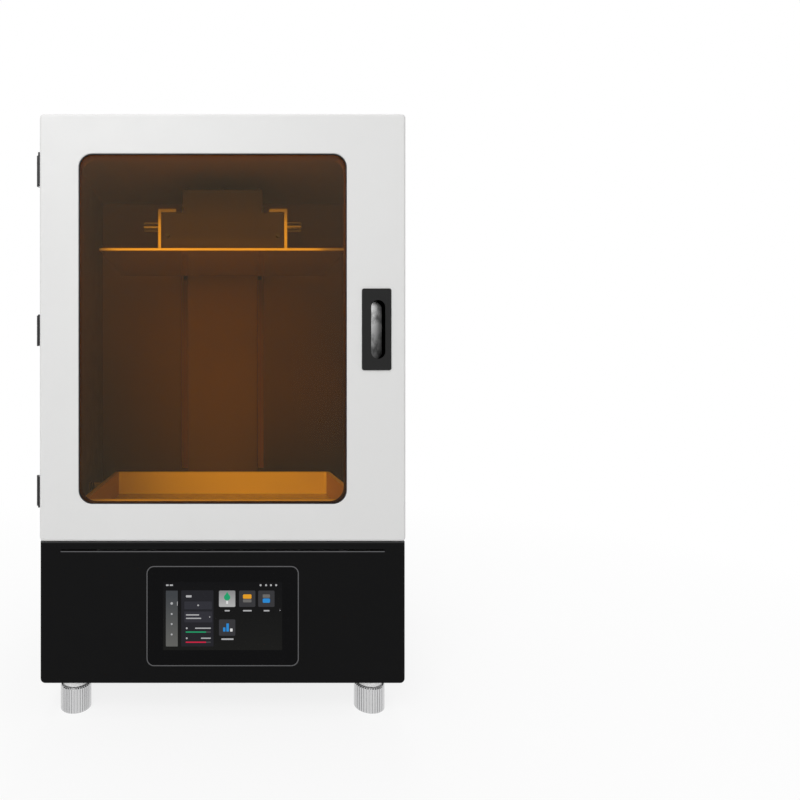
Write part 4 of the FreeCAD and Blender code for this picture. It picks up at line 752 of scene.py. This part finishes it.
def surround():
    """A white world to look at, and a softer one to light the object."""
    world = bpy.data.worlds.new("studio")
    bpy.context.scene.world = world
    world.use_nodes = True
    tree = world.node_tree
    soft = tree.nodes["Background"]
    soft.inputs["Color"].default_value = (1, 1, 1, 1)
    soft.inputs["Strength"].default_value = 0.33
    white = tree.nodes.new("ShaderNodeBackground")
    white.inputs["Color"].default_value = (1, 1, 1, 1)
    white.inputs["Strength"].default_value = 1.0
    mix = tree.nodes.new("ShaderNodeMixShader")
    tree.links.new(white_where_seen(tree), mix.inputs["Fac"])
    tree.links.new(soft.outputs["Background"], mix.inputs[1])
    tree.links.new(white.outputs["Background"], mix.inputs[2])
    tree.links.new(mix.outputs["Shader"], tree.nodes["World Output"].inputs["Surface"])


def lamp(name, at, target, size, power, mirrored=False):
    """A square soft lamp that looks at a point."""
    data = bpy.data.lights.new(name, "AREA")
    data.shape = "SQUARE"
    data.size = size
    data.energy = power
    obj = bpy.data.objects.new(name, data)
    obj.location = at
    obj.rotation_euler = (Vector(target) - Vector(at)).to_track_quat("-Z", "Y").to_euler()
    obj.visible_glossy = mirrored
    bpy.context.scene.collection.objects.link(obj)


IMAGE_SIZE = 800.0
SENSOR = 36.0
FOCAL_PIXELS = 600.0
SIGHT_X = 222.65
SIGHT_Y = 386.0
EYE_DISTANCE = 0.8715
EYE_HEIGHT = 0.485


def camera():
    """The camera square to the front, with the photograph's framing."""
    data = bpy.data.cameras.new("camera")
    data.sensor_width = SENSOR
    data.lens = FOCAL_PIXELS * SENSOR / IMAGE_SIZE
    data.shift_x = (IMAGE_SIZE / 2 - SIGHT_X) / IMAGE_SIZE
    data.shift_y = (SIGHT_Y - IMAGE_SIZE / 2) / IMAGE_SIZE
    obj = bpy.data.objects.new("camera", data)
    door_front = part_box("door_shell")[0][1]
    obj.location = (0, door_front - EYE_DISTANCE, EYE_HEIGHT)
    obj.rotation_euler = (math.radians(90), 0, 0)
    bpy.context.scene.collection.objects.link(obj)
    bpy.context.scene.camera = obj


floor()
surround()
MIDDLE = (0, 0, 0.45)
lamp("key", (-0.8, -2.4, 2.6), MIDDLE, 1.5, 45, True)
lamp("fill", (-0.2, -2.5, 0.95), MIDDLE, 1.2, 12.5)
lamp("top", (0, 0.1, 2.6), MIDDLE, 1.8, 18)
lamp("back", (0.3, 2.4, 1.9), MIDDLE, 1.8, 30)
camera()
bpy.context.scene.view_settings.view_transform = "Standard"
